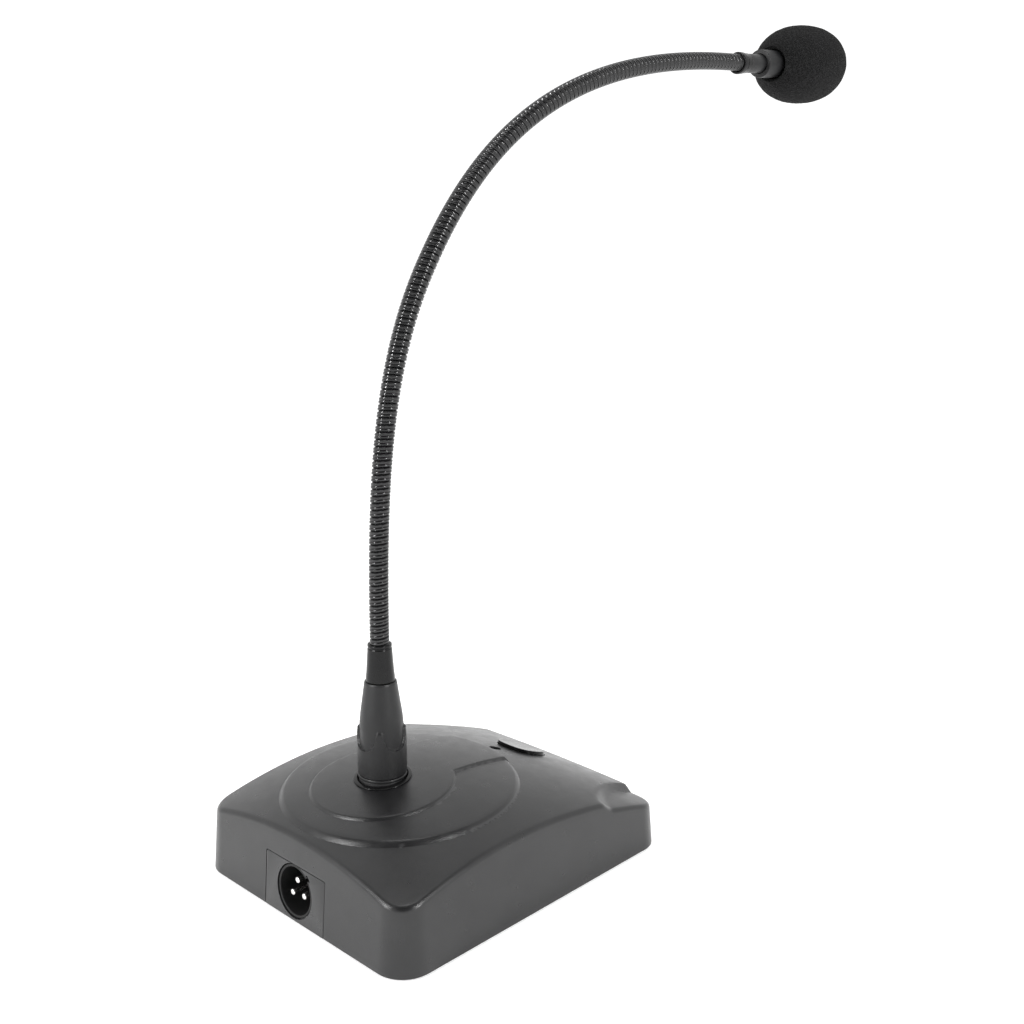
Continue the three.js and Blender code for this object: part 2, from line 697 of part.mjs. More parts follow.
function micStem() {
  return turnedRing([
    [STEM_BORE, GAP],
    [STEM_RADIUS, GAP],
    [STEM_RADIUS, STEM_LENGTH],
    [STEM_BORE, STEM_LENGTH],
  ]);
}

function capsuleHousing() {
  const stemBore = STEM_RADIUS + GAP;
  const rearWall = HOUSING_REAR + 2;
  return turnedRing([
    [stemBore, HOUSING_REAR],
    [HOUSING_RADIUS - 0.5, HOUSING_REAR],
    [HOUSING_RADIUS, HOUSING_REAR + 0.5],
    [HOUSING_RADIUS, HOUSING_FRONT],
    [HOUSING_BORE, HOUSING_FRONT],
    [HOUSING_BORE, rearWall],
    [stemBore, rearWall],
  ]);
}

function capsuleGrille() {
  const bottom = HOUSING_FRONT + GAP;
  const disc = toSolid(cylinder(HOUSING_RADIUS - 0.2, bottom, bottom + 1));
  const slots = [0, 60, 120, 180, 240, 300].map((angle) =>
    cylinder(0.9, bottom - 1, bottom + 2, ...polar(3.4, angle), 8));
  return toGeometry(subtractAll(disc, slots));
}

function micCapsule() {
  return turned([[0, 43], [4.9, 43], [4.9, 51.2], [4.4, 51.6], [0, 51.6]]);
}

function foamWindscreen() {
  const bore = HOUSING_RADIUS + GAP;
  const mouth = FOAM_CENTRE - FOAM_MOUTH * FOAM_HALF_LENGTH;
  const bulge = (t) => (1 - Math.abs(t) ** FOAM_ROUNDNESS) ** (1 / FOAM_ROUNDNESS);
  const profile = [[0, FOAM_BORE_FRONT], [bore, FOAM_BORE_FRONT], [bore, mouth]];
  const steps = 10;
  const mouthAngle = Math.acos(FOAM_MOUTH);
  for (let i = 0; i < steps; i += 1) {
    const t = -Math.cos(mouthAngle + ((Math.PI - mouthAngle) * i) / steps);
    profile.push([FOAM_RADIUS * bulge(t), FOAM_CENTRE + t * FOAM_HALF_LENGTH]);
  }
  profile.push([0, FOAM_CENTRE + FOAM_HALF_LENGTH]);
  return turned(profile);
}

function buildHead(arm) {
  const head = new THREE.Group();
  head.position.set(0, HEAD_Y, HEAD_Z);
  head.rotation.x = THREE.MathUtils.degToRad(HEAD_TILT - 90);
  arm.add(head);
  piece("upper_ferrule", upperFerrule(), GLOSS_BLACK, head);
  piece("mic_stem", micStem(), SATIN_BLACK, head);
  piece("capsule_housing", capsuleHousing(), SATIN_BLACK, head);
  piece("mic_capsule", micCapsule(), SILVER, head);
  piece("capsule_grille", capsuleGrille(), PAINTED_BLACK, head);
  piece("foam_windscreen", foamWindscreen(), FOAM_BLACK, head);
}

// ---- Assembly ----

const microphone = new THREE.Group();
buildCasing(microphone);
buildOutputConnector(microphone);
buildNeckSocket(microphone);
buildElectronics(microphone);
buildPlug(microphone);
buildGooseneck(microphone);
buildHead(microphone);

export default microphone;
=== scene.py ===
"""Gooseneck podium microphone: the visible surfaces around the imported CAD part, and a plain studio.

Shapes are worked out in millimetres, in the part's own frame, and scaled to metres as they become meshes:
+Z is up, +Y is the front and +X is across, with the origin at the centre of the footprint on the desk.
"""

import json
import math

import bmesh
import bpy
import numpy as np
from mathutils import Matrix, Vector, noise


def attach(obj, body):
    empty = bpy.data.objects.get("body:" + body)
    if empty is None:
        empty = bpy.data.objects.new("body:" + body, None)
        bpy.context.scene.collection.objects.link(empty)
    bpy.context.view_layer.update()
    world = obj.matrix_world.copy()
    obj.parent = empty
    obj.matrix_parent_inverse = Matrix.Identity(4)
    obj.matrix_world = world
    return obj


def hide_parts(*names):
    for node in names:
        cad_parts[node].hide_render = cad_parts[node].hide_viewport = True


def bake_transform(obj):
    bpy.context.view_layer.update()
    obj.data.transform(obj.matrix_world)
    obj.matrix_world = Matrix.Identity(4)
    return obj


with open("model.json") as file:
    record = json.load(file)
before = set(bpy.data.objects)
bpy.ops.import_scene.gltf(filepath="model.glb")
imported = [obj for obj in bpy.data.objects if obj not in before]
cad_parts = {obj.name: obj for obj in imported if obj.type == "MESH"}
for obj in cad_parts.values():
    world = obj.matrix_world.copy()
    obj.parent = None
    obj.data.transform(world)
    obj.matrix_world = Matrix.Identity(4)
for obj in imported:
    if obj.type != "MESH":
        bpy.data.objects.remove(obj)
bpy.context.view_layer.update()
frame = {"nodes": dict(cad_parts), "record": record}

MM = 0.001
GAP = 0.3

record = frame["record"]
SLOT_OF = {part["node"]: part["material_slot"] for part in record["subparts"]}
BODY_OF = {node: body for body, nodes in record["behaviour"]["bodies"].items() for node in nodes}


# ---- Camera ----

CAMERA_AT = (0.33144, -0.30116, 0.24408)
CAMERA_TOWARDS = (-0.67607, 0.70016, -0.22956)
CAMERA_ROLL = 0.0885  # degrees
CAMERA_LENS = 43.49


def make_camera():
    camera = bpy.data.objects.new("camera", bpy.data.cameras.new("camera"))
    camera.data.lens = CAMERA_LENS
    camera.data.sensor_width = 36
    camera.data.clip_start = 0.01
    camera.location = CAMERA_AT
    level = Vector(CAMERA_TOWARDS).to_track_quat("-Z", "Y").to_matrix()
    camera.rotation_euler = (level @ Matrix.Rotation(math.radians(CAMERA_ROLL), 3, "Z")).to_euler()
    bpy.context.scene.collection.objects.link(camera)
    bpy.context.scene.camera = camera


make_camera()


# ---- Materials, one for each of the record's slots ----


class Finish:
    """A node material under construction, with short calls for the nodes that it is built from."""

    def __init__(self, name):
        self.material = bpy.data.materials.new(name)
        self.material.use_nodes = True
        self.nodes = self.material.node_tree.nodes
        self.shader = self.nodes["Principled BSDF"]
        self.place = self.add("ShaderNodeTexCoord").outputs["Object"]

    def add(self, kind, **settings):
        node = self.nodes.new(kind)
        for key, value in settings.items():
            setattr(node, key, value)
        return node

    def link(self, source, target):
        self.material.node_tree.links.new(source, target)

    def noise(self, scale, detail=4.0, roughness=0.55):
        """Clouds with features of about 1 / scale metres."""
        node = self.add("ShaderNodeTexNoise")
        node.inputs["Scale"].default_value = scale
        node.inputs["Detail"].default_value = detail
        node.inputs["Roughness"].default_value = roughness
        self.link(self.place, node.inputs["Vector"])
        return node.outputs["Fac"]

    def cells(self, scale):
        node = self.add("ShaderNodeTexVoronoi")
        node.inputs["Scale"].default_value = scale
        self.link(self.place, node.inputs["Vector"])
        return node.outputs["Distance"]

    def remap(self, source, low, high, start=0.3, end=0.7):
        node = self.add("ShaderNodeMapRange")
        for key, value in (("From Min", start), ("From Max", end), ("To Min", low), ("To Max", high)):
            node.inputs[key].default_value = value
        self.link(source, node.inputs["Value"])
        return node.outputs["Result"]

    def mix(self, factor, first, second):
        """A colour between two, each of them a colour or another node's output."""
        node = self.add("ShaderNodeMix", data_type="RGBA")
        self.link(factor, node.inputs["Factor"])
        for socket, value in ((node.inputs[6], first), (node.inputs[7], second)):
            if isinstance(value, bpy.types.NodeSocket):
                self.link(value, socket)
            else:
                socket.default_value = (*value, 1)
        return node.outputs[2]

    def bump(self, height, depth, strength=1.0, under=None):
        node = self.add("ShaderNodeBump")
        node.inputs["Distance"].default_value = depth
        node.inputs["Strength"].default_value = strength
        self.link(height, node.inputs["Height"])
        if under is not None:
            self.link(under, node.inputs["Normal"])
        return node.outputs["Normal"]

    def edges(self, start=0.53, end=0.6):
        """Rises from 0 to 1 towards the outer edges, where handling wears a surface."""
        return self.remap(self.add("ShaderNodeNewGeometry").outputs["Pointiness"], 0, 1, start, end)


def grained(name, dark, light, rough, mottle, grain, depth, metallic=0.0, specular=0.5, coat=0.0, worn=None):
    """Colour that drifts between two tones, uneven gloss, a fine grain in relief and paler worn edges."""
    finish = Finish(name)
    shader = finish.shader
    shader.inputs["Metallic"].default_value = metallic
    shader.inputs["Specular IOR Level"].default_value = specular
    shader.inputs["Coat Weight"].default_value = coat
    shader.inputs["Coat Roughness"].default_value = 0.12
    clouds = finish.noise(mottle)
    colour = finish.mix(finish.remap(clouds, 0, 1), dark, light)
    colour = finish.mix(finish.edges(), colour, worn or light)
    finish.link(colour, shader.inputs["Base Color"])
    finish.link(finish.remap(finish.noise(mottle * 3), *rough), shader.inputs["Roughness"])
    finish.link(finish.bump(finish.noise(grain), depth), shader.inputs["Normal"])
    return finish.material


def foam_finish():
    """Open-cell foam: pores between fine walls, with painted shade in the pores and painted light on the
    walls.
    """
    finish = Finish("foam")
    pores = finish.cells(1500)
    painted_pore_shade = finish.remap(pores, 0, 1, 0.25, 0.7)
    # Painted shade and light: the pores are coloured darker, as if shaded inside, and the walls between them
    # paler, as if lit.
    colour = finish.mix(painted_pore_shade, (0.0016, 0.0016, 0.0016), (0.013, 0.013, 0.0133))
    finish.link(finish.mix(finish.remap(finish.noise(300), 0, 0.45), colour, (0.005, 0.005, 0.005)),
                finish.shader.inputs["Base Color"])
    finish.link(finish.remap(finish.noise(900), 0.9, 1.0), finish.shader.inputs["Roughness"])
    coarse = finish.bump(finish.noise(700), 0.0004)
    finish.link(finish.bump(pores, 0.0006, under=coarse), finish.shader.inputs["Normal"])
    finish.shader.inputs["Specular IOR Level"].default_value = 0.1
    finish.shader.inputs["Sheen Weight"].default_value = 0.02
    finish.shader.inputs["Sheen Roughness"].default_value = 0.6
    return finish.material


FINISHES = {
    "housing_plastic": grained("housing_plastic", (0.007, 0.007, 0.0075), (0.012, 0.012, 0.0125),
                               (0.27, 0.35), 60, 2600, 0.00005, specular=0.5, worn=(0.03, 0.03, 0.031)),
    "plug_plastic": grained("plug_plastic", (0.004, 0.004, 0.0045), (0.007, 0.007, 0.0075), (0.36, 0.46),
                            80, 2600, 0.00004, specular=0.38, worn=(0.02, 0.02, 0.02)),
    "gloss_plastic": grained("gloss_plastic", (0.004, 0.004, 0.0045), (0.007, 0.007, 0.007), (0.16, 0.22),
                             90, 1800, 0.00001, specular=0.2, worn=(0.015, 0.015, 0.015)),
    "insert_plastic": grained("insert_plastic", (0.005, 0.005, 0.005), (0.008, 0.008, 0.008), (0.5, 0.62),
                              80, 2200, 0.00005, specular=0.3),
    "gooseneck_metal": grained("gooseneck_metal", (0.004, 0.004, 0.0045), (0.008, 0.008, 0.0085), (0.12, 0.2),
                               120, 3000, 0.00001, specular=0.45, worn=(0.03, 0.03, 0.03)),
    "foam": foam_finish(),
    "pad_rubber": grained("pad_rubber", (0.009, 0.009, 0.009), (0.017, 0.017, 0.017), (0.8, 0.95),
                          140, 1500, 0.00025, specular=0.2),
    "zinc_steel": grained("zinc_steel", (0.36, 0.37, 0.38), (0.52, 0.52, 0.53), (0.28, 0.42),
                          110, 2400, 0.00003, metallic=1.0, worn=(0.62, 0.62, 0.63)),
    "ballast_iron": grained("ballast_iron", (0.08, 0.075, 0.07), (0.16, 0.15, 0.14), (0.55, 0.75),
                            220, 1200, 0.0002, metallic=0.8),
    "contact_metal": grained("contact_metal", (0.72, 0.71, 0.69), (0.82, 0.81, 0.79), (0.14, 0.24),
                             200, 3000, 0.00001, metallic=1.0, worn=(0.88, 0.87, 0.85)),
    "capsule_metal": grained("capsule_metal", (0.5, 0.5, 0.5), (0.62, 0.62, 0.61), (0.25, 0.38),
                             200, 3000, 0.00001, metallic=1.0),
    "board": grained("board", (0.008, 0.07, 0.025), (0.012, 0.1, 0.035), (0.35, 0.5), 180, 1500, 0.00004),
    "led_lens": grained("led_lens", (0.05, 0.05, 0.052), (0.075, 0.075, 0.077), (0.08, 0.16),
                        300, 1500, 0.00001, coat=0.5),
    "wire": grained("wire", (0.02, 0.02, 0.021), (0.035, 0.035, 0.036), (0.45, 0.6), 150, 1800, 0.00005),
}


# ---- Mesh code: a shape is (points in millimetres, faces) ----


def circle(radius, z, sides, x=0.0, y=0.0):
    angle = 2 * np.pi * np.arange(sides) / sides
    return np.column_stack([x + radius * np.cos(angle), y + radius * np.sin(angle), np.full(sides, z)])


def loft(loops, ring=False):
    """Quads between loops of equally many points. The two ends are capped, or joined to each other."""
    count, sides = len(loops), len(loops[0])
    faces = []
    for i in range(count if ring else count - 1):
        low, high = i * sides, (i + 1) % count * sides
        faces += [(low + j, low + (j + 1) % sides, high + (j + 1) % sides, high + j) for j in range(sides)]
    if not ring:
        faces += [tuple(range(sides - 1, -1, -1)), tuple(range((count - 1) * sides, count * sides))]
    return np.concatenate(loops), faces


def soften(corners, closed=False, steps=6):
    """The line through corners of (across, along, rounding), with each corner rounded off."""
    line, count = [], len(corners)
    for i, (across, along, rounding) in enumerate(corners):
        corner = np.array([across, along], float)
        if rounding == 0 or (not closed and i in (0, count - 1)):
            line.append(corner)
            continue
        back = np.array(corners[i - 1][:2]) - corner
        ahead = np.array(corners[(i + 1) % count][:2]) - corner
        long_back, long_ahead = np.linalg.norm(back), np.linalg.norm(ahead)
        reach = min(rounding, 0.48 * long_back, 0.48 * long_ahead)
        start, end = corner + back / long_back * reach, corner + ahead / long_ahead * reach
        for t in np.linspace(0, 1, steps):
            line.append((1 - t) ** 2 * start + 2 * t * (1 - t) * corner + t ** 2 * end)
    return np.array(line)


def turned(corners, sides=48, ring=False, x=0.0, y=0.0):
    """A piece turned about the Z axis from corners of (radius, height, rounding)."""
    return loft([circle(radius, z, sides, x, y) for radius, z in soften(corners, ring)], ring)


def bare_object(shape, place=None):
    """A closed mesh with its faces pointing out, in metres, not yet a piece."""
    points, faces = shape
    if place is not None:
        points = np.asarray(points) @ np.array(place.to_3x3()).T + np.array(place.translation)
    mesh = bpy.data.meshes.new("shape")
    mesh.from_pydata([tuple(point) for point in np.asarray(points) * MM], [], faces)
    built = bmesh.new()
    built.from_mesh(mesh)
    bmesh.ops.recalc_face_normals(built, faces=built.faces)
    built.to_mesh(mesh)
    built.free()
    obj = bpy.data.objects.new("shape", mesh)
    bpy.context.scene.collection.objects.link(obj)
    return obj


def combine(obj, others, operation):
    """Joins, cuts or intersects obj with the others, which are used up."""
    for other in others:
        modifier = obj.modifiers.new("boolean", "BOOLEAN")
        modifier.operation = operation
        modifier.solver = "MANIFOLD"
        modifier.object = other
        depsgraph = bpy.context.evaluated_depsgraph_get()
        made = bpy.data.meshes.new_from_object(obj.evaluated_get(depsgraph))
        obj.modifiers.clear()
        obj.data = made
        bpy.data.objects.remove(other)
    return obj


def dress(obj, name, nodes, crease=30):
    """Turns a mesh object into the visible piece that stands for some CAD nodes."""
    obj.name = obj.data.name = name
    obj.data.shade_smooth()
    obj.data.set_sharp_from_angle(angle=math.radians(crease))
    slot = SLOT_OF[nodes[0]]
    obj.data.materials.clear()
    obj.data.materials.append(FINISHES[slot])
    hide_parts(*nodes)
    return obj


def piece(name, shape, nodes, place=None, crease=30):
    obj = dress(bare_object(shape, place), name, nodes, crease)
    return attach(obj, BODY_OF[nodes[0]])


# ---- The roof of the base, as a height over the desk ----

BASE_WIDTH = 117.3
BASE_LENGTH = 140
BASE_CORNER_RADIUS = 12
BASE_FOOT_Z = 0.5
WALL = 2.5
WALL_DRAFT = 0.08

CREST_Y = -12
CREST_HEIGHT = 40.3
EAVE_HEIGHT = 31.4
REAR_DROP = 8
FRONT_DROP = 20.2
FRONT_EAVE_DROP = 12.6
REAR_RUN = 55
FRONT_RUN = 80

SCOOP_HALF_X = 19
SCOOP_HALF_Y = 33
SCOOP_CENTRE_Y = 66
SCOOP_DEPTH = 2.8
SCOOP_SOFTNESS = 0.2

NECK_Y = -27.2
TERRACE_Y = -18.7
TERRACE_RADIUS = 45.45
TERRACE_STEP = 1.4
TERRACE_RUN = 2.0
DISC_RADIUS = 27.5
DISC_STEP = 0.9
DISC_RUN = 1.1
TONGUE_HALF_WIDTH = 16
RAISED = TERRACE_STEP + DISC_STEP


def ramp(value):
    value = np.clip(value, 0, 1)
    return value * value * (3 - 2 * value)


def roof(x, y):
    """The moulded roof without its raised rings."""
    behind = y < CREST_Y
    run = (y - CREST_Y) / np.where(behind, REAR_RUN, FRONT_RUN)
    crown = CREST_HEIGHT - np.where(behind, REAR_DROP, FRONT_DROP) * run ** 2
    eave = EAVE_HEIGHT - np.where(behind, REAR_DROP, FRONT_EAVE_DROP) * run ** 2
    across = (BASE_WIDTH / 2 - np.abs(x)) / SCOOP_HALF_X
    along = (SCOOP_CENTRE_Y - y) / SCOOP_HALF_Y
    scoop = SCOOP_DEPTH * ramp((1 - np.hypot(across, along)) / SCOOP_SOFTNESS)
    return crown - (crown - eave) * (2 * x / BASE_WIDTH) ** 2 - scoop


def over_roof(loop, rise):
    """The same loop, at a height over the roof."""
    loop = np.array(loop, float)
    loop[:, 2] = roof(loop[:, 0], loop[:, 1]) + rise
    return loop


# ---- The base housing ----

GRID_INSET = 5  # the roof's grid stops this far inside the foot's outline
EDGE_ROUNDING = 1.6  # between the roof and the walls
LIP_ROUNDING = 0.3  # along the foot of the walls
ROOF_STEP = 1.1
HOLLOW_STEP = 3
HOLLOW_EDGE = 1.5
HOLLOW_FOOT_Z = -1.5
HOLLOW_LIP = 0.5
BLOCK_FOOT_Z = 20  # foot of the blocks that raise or pierce the roof
CUT_TOP = 60  # over the whole roof


def footprint_grid(inset, step):
    """A grid over the rounded footprint, whose corner squares are bent into quarter discs."""
    corner = BASE_CORNER_RADIUS - inset
    lines = []
    for length in (BASE_WIDTH, BASE_LENGTH):
        half = length / 2 - inset
        edge = np.linspace(half - corner, half, math.ceil(corner / step) + 1)
        middle = np.linspace(corner - half, half - corner, math.ceil(2 * (half - corner) / step) + 1)
        lines.append(np.concatenate([-edge[::-1], middle[1:-1], edge]))
    x, y = np.meshgrid(*lines)
    flat_x, flat_y = (np.clip(v, v.min() + corner, v.max() - corner) for v in (x, y))
    out_x, out_y = np.abs(x - flat_x), np.abs(y - flat_y)
    reach = np.maximum(out_x, out_y)
    turn = np.pi / 4 * np.minimum(out_x, out_y) / np.maximum(reach, 1e-9)
    turn = np.where(out_x >= out_y, turn, np.pi / 2 - turn)
    x = flat_x + np.sign(x - flat_x) * reach * np.cos(turn)
    y = flat_y + np.sign(y - flat_y) * reach * np.sin(turn)
    return x, y


def casing_solid(wall, step, edge, foot, lip):
    """The base's outside without its rings; with a wall's thickness, the hollow inside it."""
    inset = GRID_INSET + wall
    x, y = footprint_grid(inset, step)
    rows, columns = x.shape
    ids = np.arange(rows * columns).reshape(rows, columns)
    faces = [tuple(int(i) for i in quad) for quad in np.stack(
        [ids[:-1, :-1], ids[:-1, 1:], ids[1:, 1:], ids[1:, :-1]], -1).reshape(-1, 4)]
    rim = np.concatenate([ids[0, :-1], ids[:-1, -1], ids[-1, :0:-1], ids[:0:-1, 0]])
    points = [np.column_stack([x.ravel(), y.ravel(), roof(x, y).ravel() - wall])]
    loop = points[0][rim, :2]
    middle = np.array([BASE_WIDTH, BASE_LENGTH]) / 2 - BASE_CORNER_RADIUS
    out = loop - np.clip(loop, -middle, middle)
    out /= np.linalg.norm(out, axis=1)[:, None]

    def at_wall(inside, height):
        """The loop at a distance inside the wall's leaning face, at heights for each of its points."""
        return loop + out * (GRID_INSET - inside - WALL_DRAFT * height)[:, None]

    def skirt(inside, drop):
        height = np.full(len(loop), EAVE_HEIGHT)
        for _ in range(4):
            height = roof(*at_wall(inside, height).T) - wall - drop
        return np.column_stack([at_wall(inside, height), height])

    for turn in np.linspace(0, np.pi / 2, 8):
        points.append(skirt(edge * (1 - np.sin(turn)), edge * (1 - np.cos(turn))))
    top = points[-1][:, 2]
    for share in np.linspace(0, 1, 14)[1:]:
        height = top + (foot + lip - top) * share
        points.append(np.column_stack([at_wall(0, height), height]))
    for turn in np.linspace(0, np.pi / 2, 5)[1:]:
        height = np.full(len(loop), foot + lip * (1 - np.sin(turn)))
        points.append(np.column_stack([at_wall(lip * (1 - np.cos(turn)), height), height]))

    previous, start = rim, rows * columns
    for _ in points[1:]:
        following = np.arange(start, start + len(rim))
        faces += [tuple(int(i) for i in quad) for quad in np.column_stack(
            [np.roll(previous, -1), previous, following, np.roll(following, -1)])]
        previous, start = following, start + len(rim)
    faces.append(tuple(int(i) for i in previous))
    return np.concatenate(points), faces


def rim_rows(start, step, run):
    """The rounded rise at a raised ring's rim, as (inset, height over the roof)."""
    shares = [(-0.15, -0.2), (0, 0), (0.3, 0.4), (0.55, 0.7), (0.75, 0.88), (0.9, 0.97), (1, 1)]
    return [(run * inset, start + step * height) for inset, height in shares]


def roof_disc(centre_y, radius, rows, floor=BLOCK_FOOT_Z, sides=160):
    """A round block that stands in the roof, with a rim of rows and a top that follows the roof."""
    loops = [circle(radius - rows[0][0], floor, sides, 0, centre_y)]
    for inset, rise in rows:
        loops.append(over_roof(circle(radius - inset, 0, sides, 0, centre_y), rise))
    top_radius, top_rise = radius - rows[-1][0], rows[-1][1]
    for share in np.linspace(1, 0.02, math.ceil(top_radius / 1.8))[1:]:
        loops.append(over_roof(circle(top_radius * share, 0, sides, 0, centre_y), top_rise))
    return loft(loops)


def roof_strip(half_width, rows, start_y, end_y, floor=BLOCK_FOOT_Z, count=50):
    """A straight strip that stands in the roof and runs forward, with the same rim on both sides."""
    rise = [(half_width - inset, height) for inset, height in rows]
    top = [(x, rows[-1][1]) for x in np.linspace(rise[-1][0], -rise[-1][0], 20)[1:-1]]
    section = rise + top + [(-x, height) for x, height in reversed(rise)]
    loops = []
    for y in np.linspace(start_y, end_y, count):
        loop = over_roof([(x, y, 0) for x, _ in section], np.array([height for _, height in section]))
        foot = [(-section[0][0], y, floor), (section[0][0], y, floor)]
        loops.append(np.concatenate([loop, foot]))
    return loft(loops)


BOSS_RADIUS = 4
BOARD_BOSS_RADIUS = 3
SCREW_RADIUS = 1.5
SCREW_HOLE = SCREW_RADIUS + GAP
SCREW_DEPTH = 12
PLATE_SCREWS = [(46 * i, 57 * j) for i in (-1, 1) for j in (-1, 1)]
BOARD_SCREWS = [(-17, 28), (17, 28)]
BOARD_SCREW_TOP = 20
PLATE_TOP = 3.8
BOARD_TOP = 14.6

SOCKET_HOLE = 10.5
LED_Y = 32.3
LED_RADIUS = 2.2
BUTTON_Y = 47.8
BUTTON_HALF_X = 9.5
BUTTON_HALF_Y = 8.2
BUTTON_ROUNDNESS = 2.6
BUTTON_PROUD = 1.5
BUTTON_DEPTH = 2.6
BUTTON_EDGE = 0.25
BUTTON_DISH = 0.3
BUTTON_GAP = 0.4
BUTTON_HOLE_FOOT_Z = 18
LENS_RECESS = 0.9
LENS_LENGTH = 4.3

PANEL_WIDTH = 34
PANEL_TOP = 21.5
PANEL_ROUNDING = 0.9


def post(radius, bottom, top, x, y, sides=40):
    return bare_object(loft([circle(radius, z, sides, x, y) for z in (bottom, top)]))


def oval(inset, z, sides=96):
    """The button's outline, moved in from its edge."""
    angle = 2 * np.pi * np.arange(sides) / sides
    cosine, sine = np.cos(angle), np.sin(angle)
    power = 2 / BUTTON_ROUNDNESS
    x = (BUTTON_HALF_X - inset) * np.sign(cosine) * np.abs(cosine) ** power
    y = (BUTTON_HALF_Y - inset) * np.sign(sine) * np.abs(sine) ** power
    return np.column_stack([x, BUTTON_Y + y, np.full(sides, z)])


def rounded_frame(width, top, rounding, y):
    """The outline of the connector panel's window, which runs out through the foot of the rear wall."""
    half = width / 2
    corners = [(-half, -2, 0), (half, -2, 0), (half, top, rounding), (-half, top, rounding)]
    return np.array([(x, y, z) for x, z in soften(corners, closed=True)])


def base_housing():
    outside = bare_object(casing_solid(0, ROOF_STEP, EDGE_ROUNDING, BASE_FOOT_Z, LIP_ROUNDING))
    terrace = bare_object(roof_disc(TERRACE_Y, TERRACE_RADIUS, rim_rows(0, TERRACE_STEP, TERRACE_RUN)))
    raised = bare_object(roof_disc(TERRACE_Y, TERRACE_RADIUS - 0.02, rim_rows(0, RAISED, TERRACE_RUN)))
    rim = rim_rows(TERRACE_STEP, DISC_STEP, DISC_RUN) + [(DISC_RUN + 0.4, RAISED + 1)]
    keyhole = bare_object(roof_disc(NECK_Y, DISC_RADIUS, rim))
    combine(keyhole, [bare_object(roof_strip(TONGUE_HALF_WIDTH, rim, NECK_Y, 40))], "UNION")
    combine(raised, [keyhole], "INTERSECT")
    combine(outside, [terrace, raised], "UNION")

    hollow = bare_object(casing_solid(WALL, HOLLOW_STEP, HOLLOW_EDGE, HOLLOW_FOOT_Z, HOLLOW_LIP))
    bosses = [post(BOSS_RADIUS, PLATE_TOP + GAP, CUT_TOP, x, y) for x, y in PLATE_SCREWS]
    bosses += [post(BOARD_BOSS_RADIUS, BOARD_TOP + GAP, CUT_TOP, x, y) for x, y in BOARD_SCREWS]
    combine(hollow, bosses, "DIFFERENCE")

    window = loft([rounded_frame(PANEL_WIDTH + 2 * GAP, PANEL_TOP + GAP, PANEL_ROUNDING, y)
                   for y in (-BASE_LENGTH / 2 - 5, 6 - BASE_LENGTH / 2)])
    button_hole = loft([oval(-BUTTON_GAP, z) for z in (BUTTON_HOLE_FOOT_Z, CUT_TOP)])
    cutters = [hollow, bare_object(window), bare_object(button_hole)]
    cutters += [post(SOCKET_HOLE, BLOCK_FOOT_Z, CUT_TOP, 0, NECK_Y, 96)]
    cutters += [post(LED_RADIUS + GAP, BLOCK_FOOT_Z, CUT_TOP, 0, LED_Y)]
    cutters += [post(SCREW_HOLE, -1, SCREW_DEPTH, x, y, 24) for x, y in PLATE_SCREWS]
    cutters += [post(SCREW_HOLE, 5, BOARD_SCREW_TOP, x, y, 24) for x, y in BOARD_SCREWS]
    combine(outside, cutters, "DIFFERENCE")
    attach(dress(outside, "base_shell", ["base_housing"], crease=24), BODY_OF["base_housing"])


base_housing()


# ---- Connector panel and the three-pin outlet, built about the outlet's axis ----

XLR_Z = 11.66
XLR_FACE_Y = -68.2
XLR_BORE_RADIUS = 8.74
XLR_SHELL_RADIUS = 9.8
XLR_DEPTH = 15
XLR_BACK = -18
XLR_KEY_ANGLE = 45
FACE_RISE = 0.52  # the outlet's face over its own level, just under the leaning panel
PIN_RADIUS = 1.2
PIN_CIRCLE = 3.8
PIN_ANGLES = (90, -20, 215)

OUTLET = Matrix.Translation((0, XLR_FACE_Y, XLR_Z)) @ Matrix.Rotation(math.pi / 2, 4, "X")
NECK = Matrix.Translation((0, NECK_Y, 0))


def polar(radius, degrees):
    return radius * math.cos(math.radians(degrees)), radius * math.sin(math.radians(degrees))


def block(x, y, z):
    """A box between two limits along each axis."""
    loops = [[(x[0], y[0], height), (x[1], y[0], height), (x[1], y[1], height), (x[0], y[1], height)]
             for height in z]
    return loft([np.array(loop, float) for loop in loops])


def key_slot():
    """A T-shaped slot for the mating plug's latch, through the outlet's rim and into the panel."""
    turn = OUTLET @ Matrix.Rotation(math.radians(XLR_KEY_ANGLE), 4, "Z")
    stem = bare_object(block((7.5, 10.4), (-0.7, 0.7), (2 - XLR_DEPTH, 4)), turn)
    return combine(stem, [bare_object(block((10.2, 11), (-1.3, 1.3), (-4, 4)), turn)], "UNION")


def connector_panel():
    def outline(inset, depth):
        half, bottom, top = PANEL_WIDTH / 2 - inset, BASE_FOOT_Z + inset, PANEL_TOP - inset
        corners = [(-half, bottom, 0.3), (half, bottom, 0.3),
                   (half, top, PANEL_ROUNDING), (-half, top, PANEL_ROUNDING)]
        return np.array([(x, depth - BASE_LENGTH / 2 + WALL_DRAFT * z, z)
                         for x, z in soften(corners, closed=True)])

    panel = bare_object(loft([outline(0.2, 0), outline(0.06, 0.05), outline(0, 0.15), outline(0, WALL)]))
    hole = XLR_SHELL_RADIUS + GAP
    bore = turned([(0.05, -8, 0), (hole, -8, 0), (hole, 8, 0), (0.05, 8, 0)], sides=96)
    combine(panel, [bare_object(bore, OUTLET), key_slot()], "DIFFERENCE")
    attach(dress(panel, "outlet_panel", ["connector_panel"]), BODY_OF["connector_panel"])


